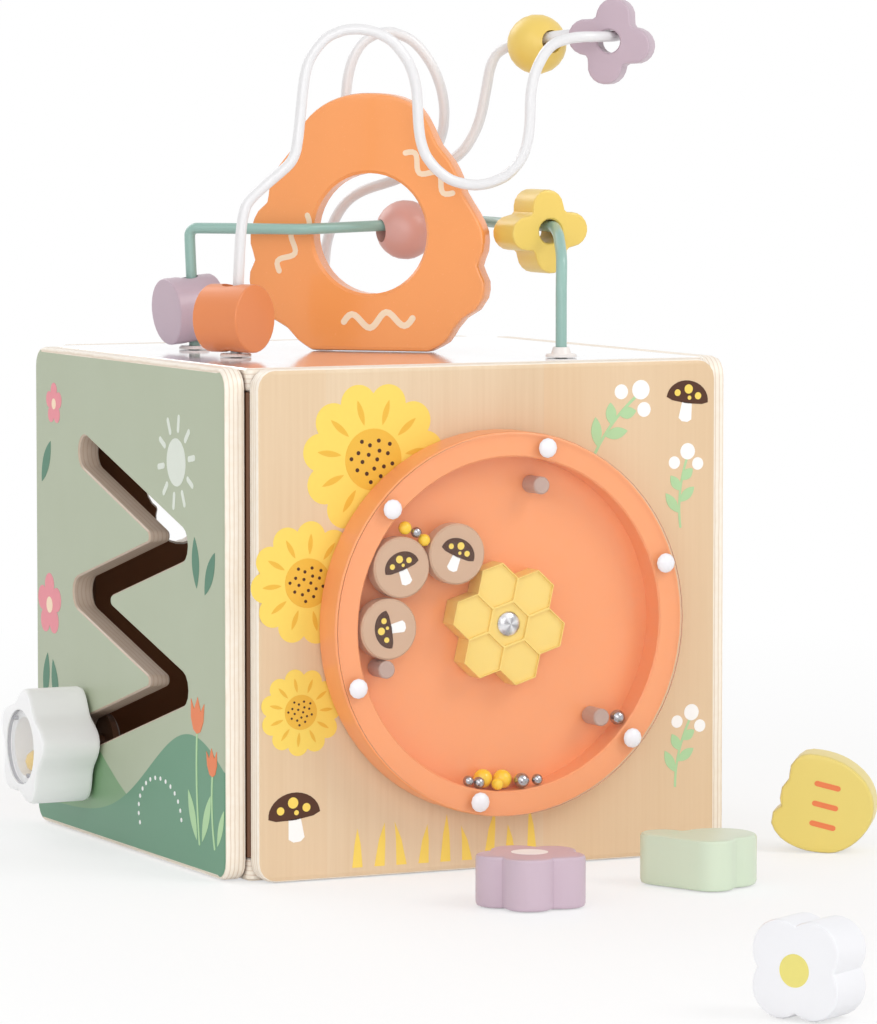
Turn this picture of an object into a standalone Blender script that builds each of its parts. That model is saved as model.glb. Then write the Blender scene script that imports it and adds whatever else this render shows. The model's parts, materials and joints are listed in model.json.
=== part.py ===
"""Activity cube: a wooden play box with a spinning rattle drum, a zigzag slider,
a shape sorter, bead wires above a scalloped board, and four loose blocks.

World axes: +Z up, the drum panel faces -Y, the zigzag panel faces -X.
The origin is the centre of the underside of the cube. Sizes are in millimetres.
"""
import math

import bmesh
import bpy
from mathutils import Vector
from mathutils.geometry import tessellate_polygon

MM = 0.001
FIT = 0.3

# Box of six boards
PANEL_WIDTH = 200.0
PANEL_HEIGHT = 199.0
BOARD = 9.0
CORNER_GAP = 0.5
BOX_INNER = PANEL_WIDTH / 2.0 + CORNER_GAP
BOX_OUTER = BOX_INNER + BOARD
PANEL_CORNER = 8.0
PANEL_EDGE = 2.0
LID_SIDE = 2.0 * (BOX_INNER - FIT)
LID_CORNER = 3.0
LID_EDGE = 0.8
POST_SIDE = 13.0
DRUM_X = 0.5
DRUM_Z = 98.0

# Zigzag slot in the left panel, as (y, z) of its centre line
SLOT_WIDTH = 13.6
SLOT_TIP = 2.5
SLOT_PATH = [(44.0, 158.0), (-56.0, 128.0), (51.0, 99.7), (-56.0, 71.0), (48.8, 41.0)]

# Hand opening in the right panel
HAND_WIDTH = 96.0
HAND_HEIGHT = 76.0
HAND_CORNER = 22.0
HAND_Z = 92.0

# Sorter openings in the back panel, as (across, height) of the middle of each
FIVE_LOBES_HOLE = (36.0, 135.0)
CLOUD_HOLE = (-43.0, 143.0)
FAN_HOLE = (8.0, 56.0)
FOUR_LOBES_HOLE = (-46.0, 58.0)
SORTER_CLEAR = 1.6

# Loose blocks
BLOCK = 19.8
BLOCK_EDGE = 1.6
FIVE_LOBES = (11.9, 9.5, 14.6)
FOUR_LOBES = (8.6, 10.6, 14.9)
CLOUD_CIRCLES = [(13.5, 9.0, 9.0), (6.0, 22.0, 14.8), (-11.0, 9.0, 9.0)]
CLOUD_BOXES = [(-11.0, 0.0, 13.5, 16.0)]
CLOUD_MIDDLE = (1.0, 12.0)
FAN_OUTLINE = [
    (-4.3, 0.0), (4.3, 0.0), (12.5, 4.4), (18.3, 12.0), (19.5, 20.5), (16.3, 28.8),
    (8.0, 36.0), (-2.9, 39.5), (-9.5, 39.3), (-14.0, 35.0), (-14.8, 29.6), (-17.6, 26.0),
    (-18.4, 21.5), (-17.9, 18.6), (-21.2, 16.0), (-21.9, 11.5), (-18.2, 5.6), (-11.2, 1.6),
]
LILAC_PLACE = (-27.3, -199.2, 0.0)
CLOUD_PLACE = (38.8, -186.0, 0.0)
FAN_PLACE = (139.6, -129.6, 0.0)
LOBES_PLACE = (-62.2, -461.6, 16.69)

# Scalloped board on the lid
HIVE_THICK = 10.0
HIVE_EDGE = 1.6
HIVE_BASE = PANEL_HEIGHT + FIT
HIVE_HOLE_RADIUS = 24.6
HIVE_HOLE_UP = 47.9
# Outline of the board, as (across, height above its foot)
HIVE_OUTLINE = [
    (-26.0, 0.4), (-31.5, 3.9), (-36.2, 8.9), (-42.3, 12.3), (-48.8, 17.7), (-52.4, 24.7),
    (-52.6, 31.7), (-50.4, 36.5), (-52.4, 43.3), (-51.8, 50.4), (-49.0, 56.7), (-45.0, 60.3),
    (-44.0, 66.7), (-41.8, 72.5), (-37.2, 78.5), (-32.4, 84.7), (-28.4, 93.3), (-20.4, 100.2),
    (-10.4, 104.1), (0.6, 105.1), (12.4, 103.5), (20.6, 99.1), (25.8, 91.1), (29.4, 83.9),
    (34.6, 77.9), (38.2, 71.1), (40.2, 64.7), (45.2, 56.9), (49.0, 49.1), (49.0, 41.1),
    (46.8, 35.1), (49.6, 28.7), (49.0, 22.1), (45.8, 17.3), (40.0, 13.7), (36.2, 9.3),
    (32.6, 3.9), (26.0, 0.4),
]
HIVE_FOOT = 25.0

# Bead wires, their holes in the lid and their collars
WIRE_RADIUS = 2.3
WIRE_HOLE_RADIUS = WIRE_RADIUS + 0.4
WIRE_BOTTOM = PANEL_HEIGHT - BOARD + 0.5
COLLAR_RADIUS = 6.4
COLLAR_LOW = 1.6
COLLAR_TALL = 4.3
GREEN_FEET = [(-60.2, 45.1), (45.5, -80.2)]
WHITE_FEET = [(-70.0, -20.0), (10.0, 70.0)]
# Path of the green wire between its feet, as (x, y, height above the lid)
GREEN_CORNER = (-62.0, 46.0, 50.0)
GREEN_RUN = [(-26.5, 10.0, 49.9), (53.0, 10.0, 52.4)]
FLOWER_X = 55.3
FLOWER_RUN = [(-6.0, 52.0), (-55.0, 51.6)]
GREEN_DROP = [(52.0, -65.0, 48.5), (47.4, -76.9, 40.0)]
GREEN_BENDS = [60.0, 3.4, 11.0, 11.0, 14.0, 12.0, 12.0, 12.0, 12.0]

# Path of the white wire between its feet, as (x, y, height above the lid)
WHITE_RISE = [
    (-69.5, -20.2, 14.0), (-68.9, -20.4, 27.0), (-68.5, -20.4, 38.0), (-68.0, -20.6, 49.0),
    (-65.2, -20.9, 61.4), (-56.3, -22.9, 70.2), (-47.1, -25.1, 79.0), (-43.4, -23.5, 92.1),
    (-41.8, -23.2, 106.5), (-38.4, -22.9, 119.4), (-30.2, -25.2, 128.6), (-19.5, -29.4, 131.0),
    (-8.6, -33.4, 127.2), (-0.6, -36.0, 117.0), (2.5, -36.8, 105.7), (2.8, -37.0, 93.7),
    (4.1, -37.5, 84.5), (7.6, -39.1, 77.0), (15.1, -41.6, 70.6), (25.8, -44.6, 68.3),
    (36.0, -47.0, 71.3), (43.9, -48.8, 79.6), (47.3, -48.3, 91.8), (48.5, -47.0, 107.0),
    (52.5, -46.9, 118.0), (57.8, -48.0, 124.8), (65.2, -49.6, 127.6), (75.2, -50.4, 128.1),
]
LILAC_SPOT = (86.3, -44.8, 128.3)
WHITE_TURN = [
    (93.8, -38.0, 128.9), (96.8, -31.5, 129.5), (92.6, -27.0, 129.8), (83.7, -25.8, 129.6),
    (75.6, -24.6, 129.0), (71.1, -20.7, 128.4),
]
BALL_SPOT = (69.6, -10.4, 127.5)
WHITE_RETURN = [
    (68.5, -1.0, 126.6), (65.8, 6.4, 125.0), (61.6, 11.1, 121.3), (59.2, 12.6, 115.0),
    (57.8, 13.3, 105.6), (55.8, 13.1, 96.5), (52.4, 13.6, 87.8), (46.4, 14.8, 79.8),
    (34.7, 18.8, 72.6), (23.9, 25.1, 71.9), (13.5, 32.3, 77.5), (7.6, 37.4, 87.0),
    (6.1, 39.2, 98.2), (6.8, 39.6, 111.0), (10.6, 39.0, 122.8), (16.1, 37.8, 128.4),
    (24.0, 35.1, 130.6), (33.4, 32.3, 126.8), (40.8, 29.8, 117.2), (44.8, 28.4, 107.0),
    (46.0, 27.9, 96.0), (44.2, 28.8, 85.4), (37.3, 33.1, 74.9), (28.4, 38.9, 69.0),
    (18.0, 46.8, 65.0), (13.0, 54.0, 60.0), (10.2, 61.5, 51.0),
]

# Beads
BEAD_BORE = 4.75
PINK_RADIUS = 12.25
BALL_RADIUS = 12.3
CYLINDER_RADIUS = 13.7
CYLINDER_LENGTH = 21.5
CYLINDER_REST = COLLAR_LOW + FIT
CYLINDER_EDGE = 0.7
FLOWER_THICK = 19.6
FLOWER_SHIFT = 1.3
FLOWER_BORE = 5.0
PETAL_FLOWER_THICK = 9.0
FLOWER_Y = -44.6
YELLOW_PETALS = (10.0, 7.0, 11.0)
LILAC_PETALS = (10.3, 7.3, 11.5)
PINK_X = 19.4
ORANGE_OFFSET = (-0.75, 0.25)
LILAC_OFFSET = (-1.9, 0.8)
HANG = BEAD_BORE - WIRE_RADIUS - FIT
LILAC_HANG = 2.0

# Drum on the front panel; depths are measured outwards from the panel face
DRUM_RADIUS = 75.5
DRUM_WALL = 10.0
DRUM_RECESS = DRUM_RADIUS - DRUM_WALL
DRUM_GAP = 0.8
DRUM_FLOOR = 5.3
DRUM_RIM = 16.5
DRUM_EDGE = 1.5
WINDOW_THICK = 2.0
WINDOW_BACK = DRUM_RIM + FIT
WINDOW_FRONT = WINDOW_BACK + WINDOW_THICK
RIVET_RADIUS = 3.9
RIVET_SHANK = 1.5
RIVET_DOME = 2.3
RIVET_CIRCLE = DRUM_RADIUS - 5.3
RIVET_DEPTH = 4.0
RIVET_ANGLES = [18.0, 78.0, 138.0, 198.0, 258.0, 318.0]
PIN_RADIUS = 3.5
PIN_CIRCLE = DRUM_RECESS - 10.0
PIN_ANGLES = [76.0, 196.0, 316.0]
CELL_SIDE = 9.2
CELL_WALL = 0.5
CELL_DEPTH = 1.0
CELL_TURN = 47.5
CELL_RIM = 0.2
HUB_TOP = WINDOW_BACK - 1.6
HUB_REACH = CELL_SIDE * math.sqrt(7.0)
BOLT_RADIUS = 2.5
BOLT_BORE = BOLT_RADIUS + 0.4
BOLT_HEAD_RADIUS = 4.9
BOLT_HEAD = 1.9
BOLT_SEAT = HUB_TOP - CELL_DEPTH + FIT
NUT_FLATS = 8.0
NUT_HEIGHT = 4.0

# Loose discs in the drum: each leans on the one before it, the first on a pin and the
# last also on the hub, as (name, radius about the drum axis, gap to what it leans on)
DISC_RADIUS = 11.9
DISC_THICK = 7.0
DISC_EDGE = 0.7
DISCS = [
    ("drum_disc_3", DRUM_RECESS - DISC_RADIUS - 1.2, 0.28),
    ("drum_disc_1", DRUM_RECESS - DISC_RADIUS - 0.9, 0.53),
    ("drum_disc_2", max(HUB_REACH + DISC_RADIUS + 0.36,
                        DRUM_RECESS - 2.5 * DISC_RADIUS), 0.35),
]
LEAN_ANGLE = PIN_ANGLES[1]

# Loose balls: the three above the discs from the lowest up, as (name, reach from the
# middle of the second disc, what else it rests against, reach from the middle of that,
# radius), each at least TRIO_GAP clear of the one below, and the pile at the foot of the
# drum, as (name, place along the wall, radius, side of the drum)
RING_GAP = 0.25
TRIO = [
    ("ball_yellow_lower", DISC_RADIUS + 2.7, "drum_disc_2", DISC_RADIUS + 2.55, 2.4),
    ("ball_steel_upper", DISC_RADIUS + 3.13, "axis", DRUM_RECESS - 10.88, 2.1),
    ("ball_yellow_upper", DISC_RADIUS + 3.39, "axis", DRUM_RECESS - 6.26, 2.6),
]
TRIO_GAP = 0.1
LONE_BALL_RADIUS = 3.0
LONE_BALL_ANGLE = -39.0
PILE = [
    ("ball_steel_1", -17.7, 2.1, "front"),
    ("ball_steel_2", -12.9, 2.3, "front"),
    ("ball_yellow_1", -8.9, 3.8, "back"),
    ("ball_yellow_2", -4.65, 2.4, "front"),
    ("ball_yellow_3", -0.4, 3.8, "back"),
    ("ball_yellow_4", 7.8, 2.4, "back"),
    ("ball_steel_3", 6.25, 3.0, "front"),
    ("ball_steel_4", 12.7, 2.2, "front"),
]

# Slider on the zigzag slot; depths are measured outwards from the panel face
KNOB_START = 1.0
KNOB_THICK = 26.2
KNOB_LOBES = 5
KNOB_TIP = 24.4
KNOB_VALLEY = 19.2
KNOB_TURN = 8.0
KNOB_EDGE = 2.2
KNOB_WINDOW_RADIUS = 15.0
KNOB_WINDOW_THICK = 2.0
SPANNER_CIRCLE = 13.4
SPANNER_HOLE = 0.9
SPANNER_ANGLE = 124.0
CAVITY_RADIUS = 12.2
CAVITY_FLOOR = 12.4
SOCKET_RADIUS = 2.6
SOCKET_DEPTH = 5.0
SLIDER_BEAD_RADIUS = 4.8
SLIDER_BEAD_ANGLE = 252.0
STEM_RADIUS = 3.2
STEM_SAG = 3.2
RETAINER_RADIUS = 12.0
RETAINER_THICK = 3.5

COLOURS = {
    "birch": ((0.80, 0.62, 0.40), 0.5, 0.0),
    "sage": ((0.45, 0.48, 0.35), 0.45, 0.0),
    "white_lacquer": ((0.86, 0.85, 0.84), 0.25, 0.0),
    "orange_lacquer": ((0.80, 0.27, 0.08), 0.35, 0.0),
    "green_enamel": ((0.30, 0.48, 0.42), 0.3, 0.0),
    "white_enamel": ((0.82, 0.80, 0.79), 0.25, 0.0),
    "cream_plastic": ((0.84, 0.77, 0.72), 0.35, 0.0),
    "drum_orange": ((0.86, 0.36, 0.15), 0.4, 0.0),
    "clear_plastic": ((0.85, 0.88, 0.90), 0.08, 0.0),
    "white_plastic": ((0.84, 0.83, 0.86), 0.3, 0.0),
    "grey_plastic": ((0.55, 0.50, 0.48), 0.45, 0.0),
    "honey_yellow": ((0.80, 0.58, 0.14), 0.4, 0.0),
    "steel": ((0.70, 0.70, 0.72), 0.2, 1.0),
    "disc_tan": ((0.58, 0.35, 0.24), 0.45, 0.0),
    "bead_yellow": ((0.88, 0.58, 0.08), 0.3, 0.0),
    "lilac": ((0.60, 0.46, 0.55), 0.4, 0.0),
    "pink": ((0.66, 0.33, 0.28), 0.4, 0.0),
    "mint": ((0.66, 0.80, 0.62), 0.35, 0.0),
    "soft_yellow": ((0.82, 0.62, 0.16), 0.4, 0.0),
}

AXIS_X = Vector((1.0, 0.0, 0.0))
AXIS_Y = Vector((0.0, 1.0, 0.0))
AXIS_Z = Vector((0.0, 0.0, 1.0))


def clear_scene():
    for item in list(bpy.data.objects):
        bpy.data.objects.remove(item, do_unlink=True)


def material(slot):
    found = bpy.data.materials.get(slot)
    if found:
        return found
    colour, roughness, metallic = COLOURS[slot]
    made = bpy.data.materials.new(slot)
    made.use_nodes = True
    shader = made.node_tree.nodes["Principled BSDF"]
    shader.inputs["Base Color"].default_value = (*colour, 1.0)
    shader.inputs["Roughness"].default_value = roughness
    shader.inputs["Metallic"].default_value = metallic
    made.diffuse_color = (*colour, 1.0)
    return made


def finish(bm, name, slot, pivot, smooth=35.0):
    """Turn a bmesh in world millimetres into an object with its origin at pivot."""
    bmesh.ops.recalc_face_normals(bm, faces=bm.faces)
    pivot = Vector(pivot)
    for vert in bm.verts:
        vert.co = (vert.co - pivot) * MM
    mesh = bpy.data.meshes.new(name)
    bm.to_mesh(mesh)
    bm.free()
    mesh.materials.append(material(slot))
    item = bpy.data.objects.new(name, mesh)
    item.location = pivot * MM
    bpy.context.scene.collection.objects.link(item)
    mesh.shade_smooth()
    mesh.set_sharp_from_angle(angle=math.radians(smooth))
    return item


class Plane:
    """A local frame: u to the right, v up, w out towards the viewer."""

    def __init__(self, origin, u_axis, v_axis):
        self.origin = Vector(origin)
        self.u = Vector(u_axis).normalized()
        self.v = Vector(v_axis).normalized()
        self.w = self.u.cross(self.v)

    def at(self, u, v, w):
        return self.origin + self.u * u + self.v * v + self.w * w


def polar(radius, degrees):
    angle = math.radians(degrees)
    return (radius * math.cos(angle), radius * math.sin(angle))


def circle(radius, count, u=0.0, v=0.0, turn=0.0):
    loop = []
    for k in range(count):
        du, dv = polar(radius, turn + 360.0 * k / count)
        loop.append((u + du, v + dv))
    return loop


def fillet(points, radii, steps=4):
    """Round every corner of a closed polygon with an arc of its own radius."""
    loop = []
    count = len(points)
    for k in range(count):
        here = Vector(points[k])
        to_last = (Vector(points[k - 1]) - here).normalized()
        to_next = (Vector(points[(k + 1) % count]) - here).normalized()
        half = to_last.angle(to_next) / 2.0
        radius = radii[k]
        reach = radius / math.tan(half)
        centre = here + (to_last + to_next).normalized() * (radius / math.sin(half))
        start = here + to_last * reach - centre
        end = here + to_next * reach - centre
        sweep = start.angle(end)
        for j in range(steps + 1):
            share = j / steps
            spoke = start * math.sin((1.0 - share) * sweep) + end * math.sin(share * sweep)
            loop.append(tuple(centre + spoke / math.sin(sweep)))
    return loop


def rounded_box(width, height, radius, u=0.0, v=0.0, steps=4):
    half_u = width / 2.0
    half_v = height / 2.0
    corners = [
        (u - half_u, v - half_v),
        (u + half_u, v - half_v),
        (u + half_u, v + half_v),
        (u - half_u, v + half_v),
    ]
    return fillet(corners, [radius] * 4, steps)


def area(loop):
    total = 0.0
    for k, point in enumerate(loop):
        last = loop[k - 1]
        total += last[0] * point[1] - point[0] * last[1]
    return total / 2.0


def offset(loop, distance):
    """Move every point of a loop to its left by the distance."""
    moved = []
    count = len(loop)
    for k in range(count):
        here = Vector(loop[k])
        before = (here - Vector(loop[k - 1])).normalized()
        after = (Vector(loop[(k + 1) % count]) - here).normalized()
        left_a = Vector((-before.y, before.x))
        left_b = Vector((-after.y, after.x))
        mitre = (left_a + left_b) / max(1.0 + left_a.dot(left_b), 0.4)
        moved.append(tuple(here + mitre * distance))
    return moved


def swell(loop, distance):
    """Grow a closed outline outwards by the distance."""
    if area(loop) < 0.0:
        loop = loop[::-1]
    return offset(loop, -distance)


def union_outline(circles, count, boxes=(), centre=(0.0, 0.0)):
    """Outline, seen from a centre, of overlapping circles (u, v, radius) and boxes."""
    loop = []
    for k in range(count):
        direction = Vector(polar(1.0, 360.0 * k / count))
        reach = 0.0
        for u, v, radius in circles:
            gap = Vector((u, v)) - Vector(centre)
            along = gap.dot(direction)
            rest = radius * radius - gap.length_squared + along * along
            if rest > 0.0:
                reach = max(reach, along + math.sqrt(rest))
        for low_u, low_v, high_u, high_v in boxes:
            limits = []
            if abs(direction.x) > 1e-9:
                edge = high_u if direction.x > 0.0 else low_u
                limits.append((edge - centre[0]) / direction.x)
            if abs(direction.y) > 1e-9:
                edge = high_v if direction.y > 0.0 else low_v
                limits.append((edge - centre[1]) / direction.y)
            reach = max(reach, min(limits))
        loop.append((centre[0] + direction.x * reach, centre[1] + direction.y * reach))
    return loop


def petals(number, circle_radius, petal_radius, core, turn, count):
    parts = [(0.0, 0.0, core)]
    for k in range(number):
        parts.append((*polar(circle_radius, turn + 360.0 * k / number), petal_radius))
    return union_outline(parts, count)


def smooth_points(points, closed, step):
    """Points along a smooth curve through the given points, about a step apart."""
    vectors = [Vector(p) for p in points]
    count = len(vectors)
    spans = count if closed else count - 1
    out = []
    for k in range(spans):
        p1 = vectors[k]
        p2 = vectors[(k + 1) % count]
        p0 = vectors[k - 1] if closed or k > 0 else p1 * 2.0 - p2
        p3 = vectors[(k + 2) % count] if closed or k + 2 < count else p2 * 2.0 - p1
        d1 = max((p1 - p0).length, 1e-6) ** 0.5
        d2 = max((p2 - p1).length, 1e-6) ** 0.5
        d3 = max((p3 - p2).length, 1e-6) ** 0.5
        m1 = (p1 - p0) / d1 - (p2 - p0) / (d1 + d2) + (p2 - p1) / d2
        m2 = (p2 - p1) / d2 - (p3 - p1) / (d2 + d3) + (p3 - p2) / d3
        m1 = m1 * d2
        m2 = m2 * d2
        pieces = max(1, round((p2 - p1).length / step))
        for j in range(pieces):
            t = j / pieces
            a = 2.0 * t ** 3 - 3.0 * t ** 2 + 1.0
            b = t ** 3 - 2.0 * t ** 2 + t
            c = 3.0 * t ** 2 - 2.0 * t ** 3
            d = t ** 3 - t ** 2
            out.append(p1 * a + m1 * b + p2 * c + m2 * d)
    if not closed:
        out.append(vectors[-1])
    return out


def thin_out(points, tolerance):
    """Drop the points of a path that lie within a tolerance of a straight line."""
    if len(points) < 3:
        return points
    start = points[0]
    end = points[-1]
    run = (end - start)
    worst = 0.0
    index = 0
    for k in range(1, len(points) - 1):
        gap = points[k] - start
        if run.length > 1e-6:
            gap = gap - run * (gap.dot(run) / run.length_squared)
        if gap.length > worst:
            worst = gap.length
            index = k
    if worst <= tolerance:
        return [start, end]
    left = thin_out(points[:index + 1], tolerance)
    return left[:-1] + thin_out(points[index:], tolerance)


def wall(loop, low, high, hole=False, edge_low=0.0, edge_high=0.0, steps=2):
    """A side wall: rings of (loop, depth) with rounded edges at its ends."""
    if (area(loop) < 0.0) != hole:
        loop = loop[::-1]
    rings = []
    turns = [math.pi / 2.0 * k / steps for k in range(steps + 1)]
    if edge_low > 0.0:
        for turn in turns:
            inset = edge_low * (1.0 - math.sin(turn))
            rings.append((offset(loop, inset), low + edge_low * (1.0 - math.cos(turn))))
    else:
        rings.append((loop, low))
    if edge_high > 0.0:
        for turn in reversed(turns):
            inset = edge_high * (1.0 - math.sin(turn))
            rings.append((offset(loop, inset), high - edge_high * (1.0 - math.cos(turn))))
    else:
        rings.append((loop, high))
    return rings


def solid(name, plane, walls, caps, slot, pivot=None, smooth=35.0):
    """Close side walls with flat caps; a cap is (outer end, [hole ends])."""
    bm = bmesh.new()
    ends = {}
    for key, rings in walls.items():
        made = []
        for loop, depth in rings:
            made.append([bm.verts.new(plane.at(u, v, depth)) for u, v in loop])
        for low, high in zip(made, made[1:]):
            for k in range(len(low)):
                j = (k + 1) % len(low)
                bm.faces.new((low[k], low[j], high[j], high[k]))
        ends[key, "low"] = (rings[0][0], made[0])
        ends[key, "high"] = (rings[-1][0], made[-1])
    for outer, holes in caps:
        loops = [ends[outer]] + [ends[hole] for hole in holes]
        verts = [vert for loop, ring in loops for vert in ring]
        flat = [[Vector((u, v, 0.0)) for u, v in loop] for loop, ring in loops]
        for triangle in tessellate_polygon(flat):
            bm.faces.new([verts[index] for index in triangle])
    if pivot is None:
        pivot = plane.origin
    return finish(bm, name, slot, pivot, smooth)


def slab(name, plane, loop, low, high, slot, holes=(), edge=1.0, hole_edge=0.0,
         pivot=None, steps=2):
    """A flat board with through holes."""
    walls = {"rim": wall(loop, low, high, False, edge, edge, steps)}
    low_ends = []
    high_ends = []
    for k, hole in enumerate(holes):
        key = "hole%d" % k
        walls[key] = wall(hole, low, high, True, hole_edge, hole_edge, 1)
        low_ends.append((key, "low"))
        high_ends.append((key, "high"))
    caps = [(("rim", "low"), low_ends), (("rim", "high"), high_ends)]
    return solid(name, plane, walls, caps, slot, pivot)


def lathe(name, centre, axis, profile, count, slot, ring=False, pivot=None, turn=0.0):
    """Turn a profile of (radius, height) about an axis; a ring profile is closed."""
    axis = Vector(axis).normalized()
    side = AXIS_Z if abs(axis.z) < 0.9 else AXIS_X
    u_axis = side.cross(axis).normalized()
    v_axis = axis.cross(u_axis)
    centre = Vector(centre)
    bm = bmesh.new()
    rows = []
    for radius, height in profile:
        base = centre + axis * height
        if radius < 1e-6:
            rows.append([bm.verts.new(base)])
            continue
        row = []
        for u, v in circle(radius, count, turn=turn):
            row.append(bm.verts.new(base + u_axis * u + v_axis * v))
        rows.append(row)
    pairs = list(zip(rows, rows[1:]))
    if ring:
        pairs.append((rows[-1], rows[0]))
    for low, high in pairs:
        for k in range(count):
            j = (k + 1) % count
            if len(low) == 1:
                bm.faces.new((low[0], high[j], high[k]))
            elif len(high) == 1:
                bm.faces.new((low[k], low[j], high[0]))
            else:
                bm.faces.new((low[k], low[j], high[j], high[k]))
    return finish(bm, name, slot, centre if pivot is None else pivot)


def ball(name, centre, radius, slot, pivot=None):
    profile = []
    for k in range(7):
        across, along = polar(radius, 90.0 - 30.0 * k)
        profile.append((max(across, 0.0) if 0 < k < 6 else 0.0, along))
    return lathe(name, centre, AXIS_Y, profile, 10, slot, pivot=pivot)


def bored_ball(name, centre, axis, radius, bore, slot):
    start = math.degrees(math.asin(bore / radius))
    steps = 10
    profile = []
    for k in range(steps + 1):
        angle = start + (180.0 - 2.0 * start) * k / steps
        along, across = polar(radius, angle)
        profile.append((across, along))
    return lathe(name, centre, axis, profile, 22, slot, ring=True)


def pin(name, base, axis, radius, length, slot, edge=0.5, count=16, pivot=None):
    profile = [
        (0.0, 0.0),
        (radius - edge, 0.0),
        (radius, edge),
        (radius, length - edge),
        (radius - edge, length),
        (0.0, length),
    ]
    return lathe(name, base, axis, profile, count, slot, pivot=pivot)


def tube(name, points, radius, sides, slot):
    """Bent round wire along a path, with flat ends."""
    bm = bmesh.new()
    normal = AXIS_X.copy()
    rings = []
    count = len(points)
    for k in range(count):
        ahead = (points[min(k + 1, count - 1)] - points[k])
        behind = (points[k] - points[max(k - 1, 0)])
        tangent = (ahead.normalized() + behind.normalized()).normalized()
        normal = (normal - tangent * normal.dot(tangent)).normalized()
        across = tangent.cross(normal)
        ring = []
        for u, v in circle(radius, sides):
            ring.append(bm.verts.new(points[k] + normal * u + across * v))
        rings.append(ring)
    for low, high in zip(rings, rings[1:]):
        for k in range(sides):
            j = (k + 1) % sides
            bm.faces.new((low[k], low[j], high[j], high[k]))
    bm.faces.new(rings[0])
    bm.faces.new(rings[-1])
    return finish(bm, name, slot, points[0], smooth=60.0)


def bend_path(points, radii, step=15.0):
    """A path of straight runs joined by arcs, as a bent rod has."""
    path = [Vector(points[0])]
    for k in range(1, len(points) - 1):
        here = Vector(points[k])
        to_last = Vector(points[k - 1]) - here
        to_next = Vector(points[k + 1]) - here
        room = 0.48 * min(to_last.length, to_next.length)
        to_last.normalize()
        to_next.normalize()
        half = to_last.angle(to_next) / 2.0
        reach = min(radii[k - 1] / math.tan(half), room)
        arc = reach * math.tan(half)
        centre = here + (to_last + to_next).normalized() * (arc / math.sin(half))
        start = here + to_last * reach - centre
        end = here + to_next * reach - centre
        sweep = start.angle(end)
        pieces = max(1, math.ceil(math.degrees(sweep) / step))
        for j in range(pieces + 1):
            share = j / pieces
            spoke = start * math.sin((1.0 - share) * sweep) + end * math.sin(share * sweep)
            path.append(centre + spoke / math.sin(sweep))
    path.append(Vector(points[-1]))
    return path


def cutter(item, tool):
    """Take the tool away from the item."""
    cut = item.modifiers.new("bore", "BOOLEAN")
    cut.operation = "DIFFERENCE"
    cut.solver = "EXACT"
    cut.object = tool
    tool.hide_render = True
    tool.display_type = "WIRE"


FRONT = Plane((0.0, -BOX_INNER, 0.0), AXIS_X, AXIS_Z)
LEFT = Plane((-BOX_INNER, 0.0, 0.0), -AXIS_Y, AXIS_Z)
RIGHT = Plane((BOX_INNER, 0.0, 0.0), AXIS_Y, AXIS_Z)
BACK = Plane((0.0, BOX_INNER, 0.0), -AXIS_X, AXIS_Z)
DRUM = Plane((DRUM_X, -BOX_OUTER, DRUM_Z), AXIS_X, AXIS_Z)


def slot_outline():
    """Outline of the zigzag slot in the plane of the left panel."""
    half = SLOT_WIDTH / 2.0
    path = [Vector((-y, z)) for y, z in SLOT_PATH]
    runs = []
    for start, end in zip(path, path[1:]):
        along = (end - start).normalized()
        runs.append((start, end, along, Vector((-along.y, along.x))))
    sides = {1.0: [], -1.0: []}
    for side in (1.0, -1.0):
        for k in range(len(runs) - 1):
            start, end, along, left = runs[k]
            after = runs[k + 1]
            mitre = (left + after[3]) / (1.0 + left.dot(after[3]))
            outer = side * along.cross(after[2]) < 0.0
            sides[side].append((end + mitre * (half * side), half if outer else SLOT_TIP))
    first = runs[0]
    last = runs[-1]
    round_end = half * 0.98
    corners = [(first[0] - first[2] * half - first[3] * half, round_end)]
    corners += sides[-1.0]
    corners.append((last[1] + last[2] * half - last[3] * half, round_end))
    corners.append((last[1] + last[2] * half + last[3] * half, round_end))
    corners += sides[1.0][::-1]
    corners.append((first[0] - first[2] * half + first[3] * half, round_end))
    points = [tuple(corner) for corner, radius in corners]
    return fillet(points, [radius for corner, radius in corners], 6)


def lilac_outline(turn=0.0):
    return petals(5, *FIVE_LOBES, turn, 50)


def cloud_outline():
    return union_outline(CLOUD_CIRCLES, 48, CLOUD_BOXES, CLOUD_MIDDLE)


def fan_outline():
    return [tuple(p) for p in smooth_points(FAN_OUTLINE, True, 3.2)]


def four_lobe_outline(turn=45.0):
    return petals(4, *FOUR_LOBES, turn, 44)


def sorter_holes():
    shapes = [
        (lilac_outline(90.0), 0.0, FIVE_LOBES_HOLE),
        (cloud_outline(), 18.0, CLOUD_HOLE),
        (fan_outline(), 20.0, FAN_HOLE),
        (four_lobe_outline(), 0.0, FOUR_LOBES_HOLE),
    ]
    holes = []
    for loop, middle, (u, v) in shapes:
        grown = swell(loop, SORTER_CLEAR)
        holes.append([(p[0] + u, p[1] - middle + v) for p in grown])
    return holes


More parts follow.
